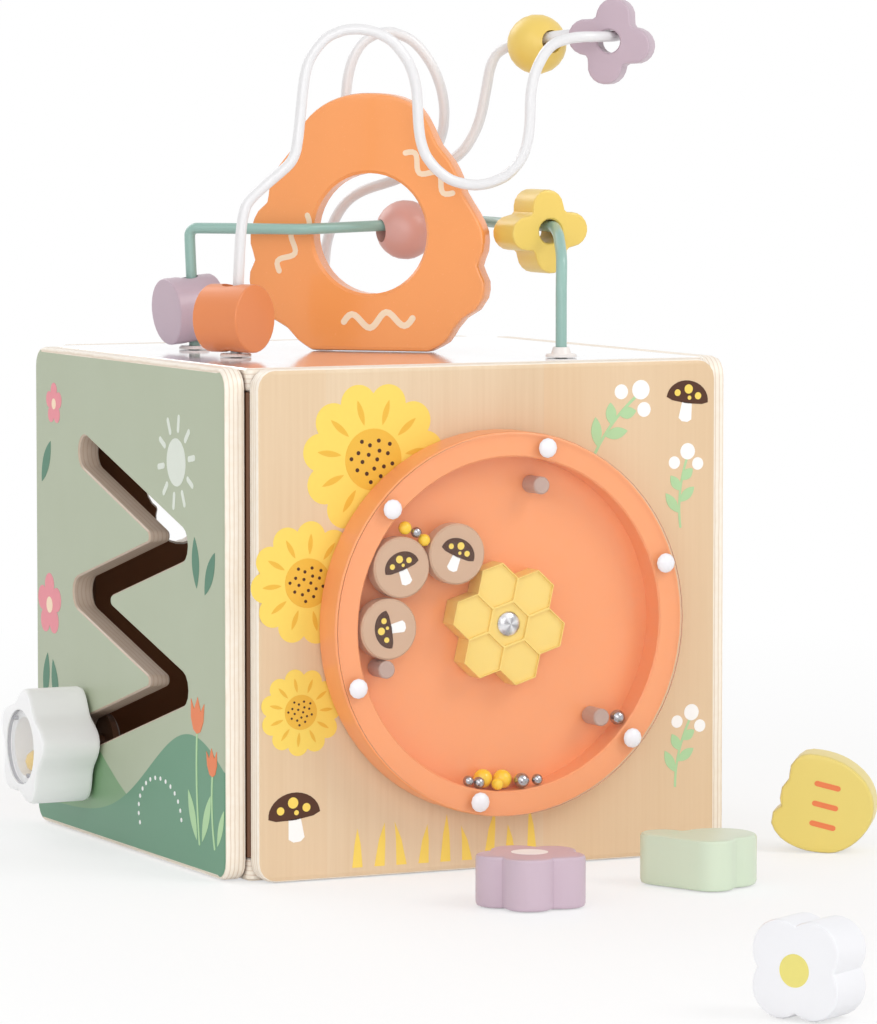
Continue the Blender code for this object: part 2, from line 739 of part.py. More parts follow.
def build_box():
    side = rounded_box(PANEL_WIDTH, PANEL_HEIGHT, PANEL_CORNER, 0.0, PANEL_HEIGHT / 2.0)
    bolt_hole = circle(BOLT_BORE, 16, DRUM_X, DRUM_Z)
    slab("front_panel", FRONT, side, 0.0, BOARD, "birch", [bolt_hole], PANEL_EDGE)
    slab("left_panel", LEFT, side, 0.0, BOARD, "sage", [slot_outline()], PANEL_EDGE, 0.6)
    hand = rounded_box(HAND_WIDTH, HAND_HEIGHT, HAND_CORNER, 0.0, HAND_Z, 6)
    slab("right_panel", RIGHT, side, 0.0, BOARD, "birch", [hand], PANEL_EDGE, 1.5)
    slab("back_panel", BACK, side, 0.0, BOARD, "birch", sorter_holes(), PANEL_EDGE, 0.8)
    lid = rounded_box(LID_SIDE, LID_SIDE, LID_CORNER, steps=3)
    floor = Plane((0.0, 0.0, 0.0), AXIS_X, AXIS_Y)
    slab("bottom_board", floor, lid, 0.0, BOARD, "birch", (), LID_EDGE, steps=1)
    feet = [circle(WIRE_HOLE_RADIUS, 14, x, y) for x, y in GREEN_FEET + WHITE_FEET]
    lid_low = PANEL_HEIGHT - BOARD
    slab("top_board", floor, lid, lid_low, PANEL_HEIGHT, "white_lacquer", feet, LID_EDGE,
         steps=1)
    reach = BOX_INNER - FIT - POST_SIDE / 2.0
    names = {(-1, -1): "post_front_left", (1, -1): "post_front_right",
             (-1, 1): "post_back_left", (1, 1): "post_back_right"}
    for (sx, sy), name in names.items():
        post = rounded_box(POST_SIDE, POST_SIDE, 1.0, sx * reach, sy * reach, 1)
        slab(name, floor, post, BOARD + FIT, lid_low - FIT, "birch", edge=0.0)


def build_hive():
    plane = Plane((0.0, 0.0, 0.0), (1.0, -1.0, 0.0), AXIS_Z)
    curve = smooth_points([(u, HIVE_BASE + v) for u, v in HIVE_OUTLINE], False, 4.0)
    loop = [tuple(p) for p in curve]
    loop = [(-HIVE_FOOT, HIVE_BASE)] + loop + [(HIVE_FOOT, HIVE_BASE)]
    hole = circle(HIVE_HOLE_RADIUS, 44, 0.0, HIVE_BASE + HIVE_HOLE_UP)
    half = HIVE_THICK / 2.0
    slab("hive_board", plane, loop, -half, half, "orange_lacquer", [hole], HIVE_EDGE, 1.2)


def above_lid(points):
    return [(x, y, PANEL_HEIGHT + up) for x, y, up in points]


def build_wires():
    (gx, gy), (hx, hy) = GREEN_FEET
    (ya, za), (yb, zb) = FLOWER_RUN
    green = [(gx, gy, 3.0), GREEN_CORNER, *GREEN_RUN, (FLOWER_X, ya, za),
             (FLOWER_X, yb, zb), *GREEN_DROP, (hx, hy, 27.0)]
    green = [(gx, gy, WIRE_BOTTOM), *above_lid(green), (hx, hy, WIRE_BOTTOM)]
    tube("green_wire", bend_path(green, GREEN_BENDS), WIRE_RADIUS, 10, "green_enamel")
    (ax, ay), (bx, by) = WHITE_FEET
    white = [(ax, ay, 3.0), *WHITE_RISE, LILAC_SPOT, *WHITE_TURN, BALL_SPOT, *WHITE_RETURN,
             (bx, by - 1.8, 41.0), (bx, by, 31.0), (bx, by, 19.0), (bx, by, 5.0)]
    white = [(ax, ay, WIRE_BOTTOM), *above_lid(white), (bx, by, WIRE_BOTTOM)]
    curve = thin_out(smooth_points(white, False, 2.5), 0.2)
    tube("white_wire", curve, WIRE_RADIUS, 8, "white_enamel")
    rim = [
        (WIRE_HOLE_RADIUS, FIT),
        (COLLAR_RADIUS, FIT),
        (COLLAR_RADIUS, 1.1),
        (COLLAR_RADIUS - 0.6, COLLAR_LOW),
    ]
    low = rim + [(WIRE_HOLE_RADIUS, COLLAR_LOW)]
    tall = rim + [(COLLAR_RADIUS - 2.2, COLLAR_LOW), (WIRE_HOLE_RADIUS + 0.6, COLLAR_TALL),
                  (WIRE_HOLE_RADIUS, COLLAR_TALL)]
    feet = zip(("green_left", "green_right", "white_left", "white_right"),
               GREEN_FEET + WHITE_FEET, (low, tall, low, tall))
    for foot, (x, y), ring in feet:
        lathe("collar_" + foot, (x, y, PANEL_HEIGHT), AXIS_Z, ring, 14, "cream_plastic",
              ring=True)


def cylinder_bead(name, foot, offset, lift, azimuth, droop, slot):
    """A short cylinder lying across its wire and bored through its side."""
    x, y = (a + b for a, b in zip(foot, offset))
    across, down = polar(1.0, -droop)
    rest = PANEL_HEIGHT + CYLINDER_REST - COLLAR_RADIUS * down + lift
    centre = Vector((x, y, rest + CYLINDER_RADIUS))
    along = Vector((*polar(across, azimuth), down))
    upright = Vector((*polar(-down, azimuth), across))
    half = CYLINDER_LENGTH / 2.0
    edge = CYLINDER_EDGE
    third = edge / 3.0
    profile = [
        (0.0, -half), (CYLINDER_RADIUS - edge, -half),
        (CYLINDER_RADIUS - third, -half + third), (CYLINDER_RADIUS, -half + edge),
        (CYLINDER_RADIUS, half - edge), (CYLINDER_RADIUS - third, half - third),
        (CYLINDER_RADIUS - edge, half), (0.0, half),
    ]
    bead = lathe(name, centre, along, profile, 30, slot)
    reach = CYLINDER_RADIUS + 3.0
    tool = pin(name + "_bore", centre - upright * reach, upright, BEAD_BORE,
               2.0 * reach, slot)
    cutter(bead, tool)
    return bead


def build_beads():
    cylinder_bead("bead_orange_cylinder", WHITE_FEET[0], ORANGE_OFFSET, 0.0, -59.0, 0.0,
                  "orange_lacquer")
    cylinder_bead("bead_lilac_cylinder", GREEN_FEET[0], LILAC_OFFSET, 0.45, 184.0, 5.0,
                  "lilac")
    start, end = [Vector(point) for point in above_lid(GREEN_RUN)]
    along = end - start
    centre = start + along * ((PINK_X - start.x) / along.x)
    bored_ball("bead_pink_ball", centre - AXIS_Z * HANG, along, PINK_RADIUS, BEAD_BORE,
               "pink")
    x, y, z = above_lid([BALL_SPOT])[0]
    bored_ball("bead_yellow_ball", (x, y, z - HANG), (-0.105, 0.991, -0.087), BALL_RADIUS,
               BEAD_BORE, "soft_yellow")
    drop = math.sqrt((FLOWER_BORE - WIRE_RADIUS - FIT) ** 2 - FLOWER_SHIFT ** 2)
    height = PANEL_HEIGHT + FLOWER_RUN[1][1] - drop
    facing = Plane((FLOWER_X - FLOWER_SHIFT, FLOWER_Y, height), (*polar(1.0, -1.0), 0.0),
                   AXIS_Z)
    loop = petals(4, *YELLOW_PETALS, 4.5, 48)
    slab("bead_yellow_flower", facing, loop, -FLOWER_THICK / 2.0, FLOWER_THICK / 2.0,
         "soft_yellow", [circle(FLOWER_BORE, 20)], 1.2, 0.6)
    x, y, z = above_lid([LILAC_SPOT])[0]
    facing = Plane((x, y, z - LILAC_HANG), (*polar(1.0, -44.0), 0.0), AXIS_Z)
    loop = petals(4, *LILAC_PETALS, -10.0, 48)
    half = PETAL_FLOWER_THICK / 2.0
    slab("bead_lilac_flower", facing, loop, -half, half, "lilac",
         [circle(BEAD_BORE, 20)], 1.0, 0.6)


def drum_point(radius, degrees, depth):
    u, v = polar(radius, degrees)
    return DRUM.at(u, v, depth)


def meet(first, reach_first, second, reach_second):
    """The point at a given reach from each of two others, left of the line between."""
    start = Vector(first)
    line = Vector(second) - start
    apart = line.length
    line.normalize()
    along = (reach_first ** 2 - reach_second ** 2 + apart ** 2) / (2.0 * apart)
    off = math.sqrt(reach_first ** 2 - along ** 2)
    found = start + line * along + Vector((-line.y, line.x)) * off
    return (found.x, found.y)


def build_drum():
    out = DRUM.w
    edge = DRUM_EDGE
    tray = [
        (BOLT_BORE, DRUM_GAP),
        (DRUM_RADIUS - edge, DRUM_GAP),
        (DRUM_RADIUS, DRUM_GAP + edge),
        (DRUM_RADIUS, DRUM_RIM - edge),
        (DRUM_RADIUS - 0.3 * edge, DRUM_RIM - 0.3 * edge),
        (DRUM_RADIUS - edge, DRUM_RIM),
        (DRUM_RECESS + 0.6, DRUM_RIM),
        (DRUM_RECESS, DRUM_RIM - 0.6),
        (DRUM_RECESS, DRUM_FLOOR),
        (BOLT_BORE, DRUM_FLOOR),
    ]
    body = lathe("drum_tray", DRUM.origin, out, tray, 64, "drum_orange", ring=True)
    hole_radius = RIVET_SHANK + FIT
    depth = WINDOW_FRONT - RIVET_DEPTH - WINDOW_THICK - 2.0 * FIT
    bm = bmesh.new()
    for angle in RIVET_ANGLES:
        base = drum_point(RIVET_CIRCLE, angle, depth)
        ends = []
        for w in (0.0, DRUM_RIM + 2.0 - depth):
            ring = [bm.verts.new(base + DRUM.u * u + DRUM.v * v + out * w)
                    for u, v in circle(hole_radius, 12)]
            bm.faces.new(ring)
            ends.append(ring)
        for k in range(12):
            j = (k + 1) % 12
            bm.faces.new((ends[0][k], ends[0][j], ends[1][j], ends[1][k]))
    cutter(body, finish(bm, "rivet_holes", "drum_orange", DRUM.origin))
    holes = [circle(hole_radius, 12, *polar(RIVET_CIRCLE, a)) for a in RIVET_ANGLES]
    slab("drum_window", DRUM, circle(DRUM_RADIUS - 0.5, 64), WINDOW_BACK, WINDOW_FRONT,
         "clear_plastic", holes, 0.6, steps=1)
    under = WINDOW_FRONT + FIT
    rivet = [
        (0.0, RIVET_DOME), (RIVET_RADIUS * 0.5, RIVET_DOME * 0.86),
        (RIVET_RADIUS * 0.86, RIVET_DOME * 0.5), (RIVET_RADIUS, 0.3), (RIVET_RADIUS, 0.0),
        (RIVET_SHANK, 0.0), (RIVET_SHANK, -WINDOW_THICK - RIVET_DEPTH),
        (0.0, -WINDOW_THICK - RIVET_DEPTH),
    ]
    for k, angle in enumerate(RIVET_ANGLES):
        lathe("drum_rivet_%d" % (k + 1), drum_point(RIVET_CIRCLE, angle, under), out,
              rivet, 12, "white_plastic", pivot=DRUM.origin)
    length = WINDOW_BACK - DRUM_FLOOR - 2.0 * FIT
    for k, angle in enumerate(PIN_ANGLES):
        pin("drum_pin_%d" % (k + 1), drum_point(PIN_CIRCLE, angle, DRUM_FLOOR + FIT), out,
            PIN_RADIUS, length, "grey_plastic", pivot=DRUM.origin)
    end = -BOLT_SEAT - BOARD - NUT_HEIGHT - 1.4
    bolt = [
        (0.0, BOLT_HEAD), (BOLT_HEAD_RADIUS * 0.5, BOLT_HEAD * 0.85),
        (BOLT_HEAD_RADIUS * 0.87, BOLT_HEAD * 0.45), (BOLT_HEAD_RADIUS, 0.0),
        (BOLT_RADIUS, 0.0), (BOLT_RADIUS, end), (0.0, end),
    ]
    lathe("drum_bolt", drum_point(0.0, 0.0, BOLT_SEAT), out, bolt, 18, "steel")
    nut = circle(NUT_FLATS / math.sqrt(3.0), 6)
    slab("drum_nut", DRUM, nut, -BOARD - FIT - NUT_HEIGHT, -BOARD - FIT, "steel",
         [circle(BOLT_RADIUS + FIT, 16)], 0.0)


def build_hub():
    """Seven comb cells in one block, each with a shallow floor inside its walls."""
    floor = HUB_TOP - CELL_DEPTH
    pitch = CELL_SIDE * math.sqrt(3.0)
    centres = [(0.0, 0.0)] + [polar(pitch, CELL_TURN + 60.0 * k) for k in range(6)]
    outline = []
    for k in range(6):
        u, v = centres[k + 1]
        for corner in (-30.0, 30.0, 90.0):
            du, dv = polar(CELL_SIDE, CELL_TURN + 60.0 * k + corner)
            outline.append((u + du, v + dv))
    walls = {"rim": wall(outline, DRUM_FLOOR + FIT, HUB_TOP, False, 0.0, CELL_RIM, 1)}
    bore = circle(BOLT_BORE, 16)
    walls["bore"] = wall(bore, DRUM_FLOOR + FIT, floor, True)
    caps = [(("rim", "low"), [("bore", "low")])]
    tops = []
    for k, (u, v) in enumerate(centres):
        cell = circle(CELL_SIDE - CELL_WALL, 6, u, v, CELL_TURN + 30.0)
        key = "cell%d" % k
        walls[key] = wall(cell, floor, HUB_TOP, True)
        tops.append((key, "high"))
        caps.append(((key, "low"), [("bore", "high")] if k == 0 else []))
    caps.append((("rim", "high"), tops))
    solid("drum_hub", DRUM, walls, caps, "honey_yellow")


def build_drum_loose():
    back = DRUM_FLOOR + 0.4
    front = WINDOW_BACK - 0.4
    last = polar(PIN_CIRCLE, LEAN_ANGLE)
    touch = PIN_RADIUS + DISC_RADIUS
    middles = {"axis": (0.0, 0.0)}
    for name, radius, gap in DISCS:
        last = meet(last, touch + gap, middles["axis"], radius)
        touch = 2.0 * DISC_RADIUS
        middles[name] = last
        slab(name, DRUM, circle(DISC_RADIUS, 32, *last), front - DISC_THICK, front,
             "disc_tan", edge=DISC_EDGE, steps=1)
    depths = {"back": lambda r: back + r, "front": lambda r: front - r}
    below = None
    for name, reach, other, reach_other, size in TRIO:
        slot = "steel" if "steel" in name else "bead_yellow"
        spot = meet(middles["drum_disc_1"], reach, middles[other], reach_other)
        if below and math.dist(spot, below[0]) < size + below[1] + TRIO_GAP:
            spot = meet(middles["drum_disc_1"], reach, below[0],
                        size + below[1] + TRIO_GAP)
        below = (spot, size)
        ball(name, DRUM.at(*spot, depths["front"](size)), size, slot, pivot=DRUM.origin)
    ring = DRUM_RECESS - RING_GAP
    ball("ball_steel_lone",
         drum_point(ring - LONE_BALL_RADIUS, LONE_BALL_ANGLE,
                    depths["front"](LONE_BALL_RADIUS)),
         LONE_BALL_RADIUS, "steel", pivot=DRUM.origin)
    for name, along, size, side in PILE:
        radius = ring - size
        angle = -90.0 + math.degrees(along / radius)
        slot = "steel" if "steel" in name else "bead_yellow"
        ball(name, drum_point(radius, angle, depths[side](size)), size, slot,
             pivot=DRUM.origin)


def build_slider():
    y, z = SLOT_PATH[-1]
    plane = Plane((-BOX_OUTER - KNOB_START, y, z - STEM_SAG), -AXIS_Y, AXIS_Z)
    middle = (KNOB_TIP + KNOB_VALLEY) / 2.0
    swing = (KNOB_TIP - KNOB_VALLEY) / 2.0
    outline = []
    for k in range(60):
        wave = swing * math.cos(math.radians(6.0 * k * KNOB_LOBES))
        outline.append(polar(middle + wave, KNOB_TURN + 6.0 * k))
    seat = KNOB_THICK - KNOB_WINDOW_THICK - FIT
    walls = {
        "rim": wall(outline, 0.0, KNOB_THICK, False, KNOB_EDGE, KNOB_EDGE, 2),
        "socket": wall(circle(SOCKET_RADIUS, 14), 0.0, SOCKET_DEPTH, True),
        "cavity": wall(circle(CAVITY_RADIUS, 32), CAVITY_FLOOR, seat, True),
        "seat": wall(circle(KNOB_WINDOW_RADIUS + FIT, 32), seat, KNOB_THICK, True),
    }
    caps = [
        (("rim", "low"), [("socket", "low")]),
        (("socket", "high"), []),
        (("cavity", "low"), []),
        (("seat", "low"), [("cavity", "high")]),
        (("rim", "high"), [("seat", "high")]),
    ]
    solid("slider_knob", plane, walls, caps, "white_plastic")
    holes = [circle(SPANNER_HOLE, 10, *polar(SPANNER_CIRCLE, SPANNER_ANGLE + turn))
             for turn in (0.0, 180.0)]
    slab("slider_window", plane, circle(KNOB_WINDOW_RADIUS, 32), seat + FIT,
         seat + FIT + KNOB_WINDOW_THICK, "clear_plastic", holes, 0.3, steps=1)
    spot = polar(CAVITY_RADIUS - SLIDER_BEAD_RADIUS - 0.5, SLIDER_BEAD_ANGLE)
    middle = (CAVITY_FLOOR + seat) / 2.0
    ball("slider_bead", plane.at(*spot, middle), SLIDER_BEAD_RADIUS, "bead_yellow",
         pivot=plane.origin)
    inner = -BOARD - KNOB_START - FIT
    stem = [
        (0.0, inner - RETAINER_THICK),
        (RETAINER_RADIUS - 1.0, inner - RETAINER_THICK),
        (RETAINER_RADIUS, inner - RETAINER_THICK + 1.0),
        (RETAINER_RADIUS, inner),
        (STEM_RADIUS, inner),
        (STEM_RADIUS, -FIT),
        (SOCKET_RADIUS - FIT, -FIT),
        (SOCKET_RADIUS - FIT, SOCKET_DEPTH - FIT),
        (0.0, SOCKET_DEPTH - FIT),
    ]
    lathe("slider_retainer", plane.origin, plane.w, stem, 24, "white_plastic")


def build_blocks():
    flat = Plane(LILAC_PLACE, AXIS_X, AXIS_Y)
    slab("block_lilac_flower", flat, lilac_outline(239.0), 0.0, BLOCK, "lilac",
         edge=BLOCK_EDGE)
    cloud = Plane(CLOUD_PLACE, (0.363, -0.929, 0.0), (0.929, 0.363, 0.0))
    slab("block_mint_cloud", cloud, cloud_outline(), 0.0, BLOCK, "mint", edge=BLOCK_EDGE)
    fan = Plane(FAN_PLACE, (0.816, -0.578, 0.0), AXIS_Z)
    slab("block_yellow_fan", fan, fan_outline(), -BLOCK, 0.0, "soft_yellow",
         edge=BLOCK_EDGE)
    lobes = Plane(LOBES_PLACE, (0.505, -0.863, 0.0), AXIS_Z)
    slab("block_white_flower", lobes, four_lobe_outline(45.0), -BLOCK, 0.0,
         "white_lacquer", edge=BLOCK_EDGE)


def main():
    clear_scene()
    build_box()
    build_hive()
    build_wires()
    build_beads()
    build_drum()
    build_hub()
    build_drum_loose()
    build_slider()
    build_blocks()


main()
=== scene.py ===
"""Looks for the activity cube: materials, printed motifs, round balls, floor, light, camera."""

import json
import math

import bmesh
import bpy
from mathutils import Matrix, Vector
from mathutils.geometry import tessellate_polygon


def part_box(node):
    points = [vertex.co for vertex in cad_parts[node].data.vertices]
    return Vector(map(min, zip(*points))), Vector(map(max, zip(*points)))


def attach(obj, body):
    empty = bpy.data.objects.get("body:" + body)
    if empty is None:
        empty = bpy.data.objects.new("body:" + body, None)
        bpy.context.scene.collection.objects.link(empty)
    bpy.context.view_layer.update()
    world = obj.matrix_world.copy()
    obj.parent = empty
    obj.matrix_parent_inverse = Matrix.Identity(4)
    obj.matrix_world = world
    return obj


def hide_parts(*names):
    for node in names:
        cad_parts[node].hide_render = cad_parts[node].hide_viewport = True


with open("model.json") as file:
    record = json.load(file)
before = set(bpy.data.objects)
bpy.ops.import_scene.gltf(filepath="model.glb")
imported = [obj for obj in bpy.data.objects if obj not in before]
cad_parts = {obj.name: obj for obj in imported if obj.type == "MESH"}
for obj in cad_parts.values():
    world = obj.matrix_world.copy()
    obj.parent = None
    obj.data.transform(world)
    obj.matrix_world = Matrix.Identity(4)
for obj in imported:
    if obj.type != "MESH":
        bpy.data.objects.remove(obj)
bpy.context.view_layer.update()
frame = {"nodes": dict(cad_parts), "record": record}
nodes = frame["nodes"]
MM = 0.001


def rgb(red, green, blue):
    """An 8-bit screen colour as linear values."""
    out = []
    for value in (red, green, blue):
        value /= 255.0
        out.append(value / 12.92 if value <= 0.04045 else ((value + 0.055) / 1.055) ** 2.4)
    return (*out, 1.0)


EVEN = (1.0, 1.0, 1.0)
GRAIN_STRETCH = 0.02
GRAIN = {"X": (GRAIN_STRETCH, 1.0, 1.0), "Y": (1.0, GRAIN_STRETCH, 1.0),
         "Z": (1.0, 1.0, GRAIN_STRETCH)}
PLAIN_SHINE = 0.5
LOW_SHINE = 0.25
COAT_ROUGHNESS = 0.08
LIGHTEST = 0.95


class Look:
    """A material under construction, with short names for the nodes it needs."""

    def __init__(self, name, colour, rough, metal=0.0, coat=0.0):
        self.made = bpy.data.materials.new(name)
        self.made.use_nodes = True
        self.tree = self.made.node_tree
        self.shader = self.tree.nodes["Principled BSDF"]
        self.set("Base Color", colour)
        self.set("Roughness", rough)
        self.set("Metallic", metal)
        self.set("Coat Weight", coat)
        self.set("Coat Roughness", COAT_ROUGHNESS)
        self.where = self.add("ShaderNodeTexCoord")

    def set(self, socket, value):
        if isinstance(value, bpy.types.NodeSocket):
            self.tree.links.new(value, self.shader.inputs[socket])
        else:
            self.shader.inputs[socket].default_value = value

    def add(self, kind, inputs=(), **settings):
        node = self.tree.nodes.new(kind)
        for key, value in settings.items():
            setattr(node, key, value)
        for key, value in dict(inputs).items():
            if isinstance(value, bpy.types.NodeSocket):
                self.tree.links.new(value, node.inputs[key])
            else:
                node.inputs[key].default_value = value
        return node

    def math(self, operation, a, b=0.0, clamp=False):
        node = self.add("ShaderNodeMath", {0: a, 1: b}, operation=operation, use_clamp=clamp)
        return node.outputs[0]

    def mix(self, factor, a, b):
        node = self.add("ShaderNodeMix", {"Factor": factor, 6: a, 7: b}, data_type="RGBA")
        return node.outputs[2]

    def axis(self, letter, output="Object"):
        split = self.add("ShaderNodeSeparateXYZ", {0: self.where.outputs[output]})
        return split.outputs["XYZ".index(letter)]

    def noise(self, scale, stretch=EVEN, detail=3.0, rough=0.5):
        placed = self.add("ShaderNodeMapping", {"Vector": self.where.outputs["Object"],
                                                "Scale": stretch})
        made = self.add("ShaderNodeTexNoise", {"Vector": placed.outputs[0], "Scale": scale,
                                               "Detail": detail, "Roughness": rough})
        return made.outputs["Fac"]

    def ramp(self, value, low, high, out_low=0.0, out_high=1.0):
        node = self.add("ShaderNodeMapRange", {"Value": value, "From Min": low,
                                               "From Max": high, "To Min": out_low,
                                               "To Max": out_high})
        return node.outputs[0]

    def bump(self, height, distance, strength):
        node = self.add("ShaderNodeBump", {"Height": height, "Distance": distance,
                                           "Strength": strength})
        self.set("Normal", node.outputs[0])


def shaded(colour, factor):
    """A colour with each channel times a factor."""
    return tuple(min(value * factor, LIGHTEST) for value in colour[:3]) + (1.0,)


PLAIN_WOOD = rgb(236, 209, 172)
LIGHT_WOOD = rgb(229, 206, 175)
DARK_WOOD = rgb(211, 181, 143)
STAVE_WOOD = rgb(224, 190, 148)
FIGURE_STRETCH = 0.18
STREAK_SHARE = 0.22
FIGURE_SHARE = 0.42
RIGHT_JOINT, RIGHT_SHARE = 0.023, 0.42
LEFT_JOINT, LEFT_SHARE = -0.071, 0.2


def wood_colour(look, along, across=None):
    """Pale veneer: fine streaks along the grain, a broad figure and glued staves."""
    fine = look.noise(620.0, GRAIN[along], 4.0, 0.6)
    broad = look.noise(26.0, [FIGURE_STRETCH if value < 1.0 else 1.0
                              for value in GRAIN[along]])
    streak = look.ramp(fine, 0.36, 0.7)
    figure = look.ramp(broad, 0.32, 0.68)
    both = look.math("ADD", look.math("MULTIPLY", streak, STREAK_SHARE),
                     look.math("MULTIPLY", figure, FIGURE_SHARE), True)
    colour = look.mix(both, LIGHT_WOOD, DARK_WOOD)
    if across:
        place = look.axis(across)
        right = look.math("GREATER_THAN", place, RIGHT_JOINT)
        left = look.math("LESS_THAN", place, LEFT_JOINT)
        stave = look.math("ADD", look.math("MULTIPLY", right, RIGHT_SHARE),
                          look.math("MULTIPLY", left, LEFT_SHARE))
        colour = look.mix(stave, colour, STAVE_WOOD)
    return colour, streak


PLY_LAYER = 0.0018
PLY_WANDER = 0.0006
PLY_LIGHT = rgb(253, 246, 236)
PLY_DARK = rgb(244, 231, 212)
GLUE_LINE = rgb(198, 166, 130)


def ply_colour(look, across):
    """Layers of the ply where a board is cut: thin dark glue lines between pale plies."""
    wander = look.math("MULTIPLY", look.noise(90.0, EVEN, 2.0), PLY_WANDER)
    depth = look.math("ADD", look.axis(across), wander)
    layer = look.math("FRACT", look.math("DIVIDE", look.math("ADD", depth, 1.0),
                                         PLY_LAYER))
    line = look.ramp(look.math("ABSOLUTE", look.math("SUBTRACT", layer, 0.5)), 0.3, 0.5)
    pale = look.mix(look.noise(300.0), PLY_LIGHT, PLY_DARK)
    return look.mix(look.math("MULTIPLY", line, 0.5), pale, GLUE_LINE)


FLAT_FACE = 0.93


def facing(look, across, limit=FLAT_FACE):
    """1 on the flat faces of a board, 0 on its rounded rim and its cut edges."""
    tilt = look.math("ABSOLUTE", look.axis(across, "Normal"))
    return look.math("GREATER_THAN", tilt, limit)


# Brown painted shade for the faces inside the closed box, whose wood is bare ply.
INSIDE_PAINTED_SHADE = rgb(146, 98, 64)


def inner_face_painted_shade(look, across, side, colour):
    """The colour, but a brown painted shade on the face whose normal points to the inside of
    the closed box.
    """
    inward = look.math("MULTIPLY", look.axis(across, "Normal"), side)
    return look.mix(look.math("GREATER_THAN", inward, FLAT_FACE), colour, INSIDE_PAINTED_SHADE)


def board(name, across, along, staves, inside):
    """Bare birch ply outside, with brown painted shade inside; inside is the sign of the inward
    normal.
    """
    look = Look(name, PLAIN_WOOD, 0.42)
    face, streak = wood_colour(look, along, staves)
    outer = look.mix(facing(look, across), ply_colour(look, across), face)
    # The face toward the inside of the box gets the brown painted shade.
    look.set("Base Color", inner_face_painted_shade(look, across, inside, outer))
    look.set("Roughness", look.ramp(streak, 0.0, 1.0, 0.38, 0.5))
    look.bump(streak, 0.00003, 0.5)
    return look.made


PLAIN_SAGE = rgb(178, 184, 161)
SAGE_LIGHT = rgb(177, 186, 161)
SAGE_DARK = rgb(172, 181, 154)
FAR_HILL = rgb(122, 160, 118)
NEAR_HILL = rgb(96, 146, 116)
SLOT_EDGE = rgb(150, 112, 82)
HILLS = ((-62.0, 52.0, 34.0, 14.0), (66.0, 60.0, 44.0, 10.0))
PANEL_MIDDLE = 0.1
PANEL_RIM = 0.09


def hills(look):
    """1 inside each of the HILLS, given as (middle, width, height, foot) in mm."""
    side = look.math("MULTIPLY", look.axis("Y"), -1.0 / MM)
    height = look.math("MULTIPLY", look.axis("Z"), 1.0 / MM)
    masks = []
    for centre, width, top, base in HILLS:
        away = look.math("DIVIDE", look.math("SUBTRACT", side, centre), width)
        bell = look.math("EXPONENT", look.math("MULTIPLY", look.math("MULTIPLY", away, away),
                                               -1.0))
        crest = look.math("ADD", look.math("MULTIPLY", bell, top), base)
        masks.append(look.ramp(look.math("SUBTRACT", crest, height), -0.15, 0.15))
    return masks


def painted_board():
    """Sage paint with two hills, pale ply round the rim and browner ply in the slot."""
    look = Look("painted_board", PLAIN_SAGE, 0.38)
    cloudy = look.noise(40.0, EVEN, 4.0)
    sage = look.mix(cloudy, SAGE_LIGHT, SAGE_DARK)
    far, near = hills(look)
    colour = look.mix(near, look.mix(far, sage, FAR_HILL), NEAR_HILL)
    above = look.math("SUBTRACT", look.axis("Z"), PANEL_MIDDLE)
    rim = look.math("MAXIMUM", look.math("ABSOLUTE", look.axis("Y")),
                    look.math("ABSOLUTE", above))
    cut = look.math("LESS_THAN", rim, PANEL_RIM)
    edge = look.mix(look.math("MULTIPLY", cut, 0.5), ply_colour(look, "X"), SLOT_EDGE)
    outer = look.mix(facing(look, "X", 0.97), edge, colour)
    # The face toward the inside of the box gets the brown painted shade.
    look.set("Base Color", inner_face_painted_shade(look, "X", 1.0, outer))
    look.bump(look.noise(900.0, EVEN, 2.0), 0.00004, 0.4)
    return look.made


def paint(name, colour, rough, coat, vary, shine=PLAIN_SHINE):
    """Sprayed paint: slight drift of shade, a fine orange-peel surface."""
    look = Look(name, colour, rough, 0.0, coat)
    look.set("Specular IOR Level", shine)
    drift = look.noise(55.0, GRAIN["Z"], 3.0)
    look.set("Base Color", look.mix(drift, shaded(colour, 1.0 - vary),
                                    shaded(colour, 1.0 + vary)))
    peel = look.noise(1400.0, EVEN, 2.0)
    look.set("Roughness", look.ramp(peel, 0.2, 0.8, rough * 0.92, rough * 1.08))
    look.bump(look.noise(500.0, EVEN, 1.0), 0.00002, 0.12)
    return look.made


def block_paint(name, colour, vary):
    """The satin paint of the loose blocks."""
    return paint(name, colour, 0.34, 0.05, vary, LOW_SHINE)


def lacquered_lid():
    """Gloss lacquer on the flat faces, bare ply round the edge."""
    look = Look("gloss_lid", rgb(238, 241, 246), 0.1, 0.0, 0.8)
    drift = look.noise(12.0, EVEN, 2.0)
    top = look.mix(drift, rgb(240, 243, 248), rgb(235, 238, 243))
    look.set("Base Color", look.mix(facing(look, "Z"), ply_colour(look, "Z"), top))
    look.set("Roughness", look.ramp(look.noise(300.0), 0.3, 0.7, 0.08, 0.14))
    return look.made


def coated_wire(name, colour):
    """Powder-coated rod with a fine speckle."""
    look = Look(name, colour, 0.3, 0.0, 0.3)
    specks = look.noise(2600.0, EVEN, 2.0)
    look.set("Base Color", look.mix(specks, shaded(colour, 0.95), colour))
    look.bump(specks, 0.00004, 0.4)
    return look.made


def moulded(name, colour, rough, coat=0.0, shade=None):
    """Moulded plastic that drifts to a second shade, a little darker unless given."""
    look = Look(name, colour, rough, 0.0, coat)
    fine = look.noise(1800.0, EVEN, 2.0)
    drift = look.noise(30.0, EVEN, 2.0)
    look.set("Base Color", look.mix(drift, colour, shade or shaded(colour, 0.95)))
    look.set("Roughness", look.ramp(fine, 0.2, 0.8, rough * 0.9, rough * 1.12))
    look.bump(fine, 0.00002, 0.35)
    return look.made


ACRYLIC = rgb(250, 251, 252)
ACRYLIC_GLANCE = 0.4
EDGE_REFLECTION_OPACITY = 0.75


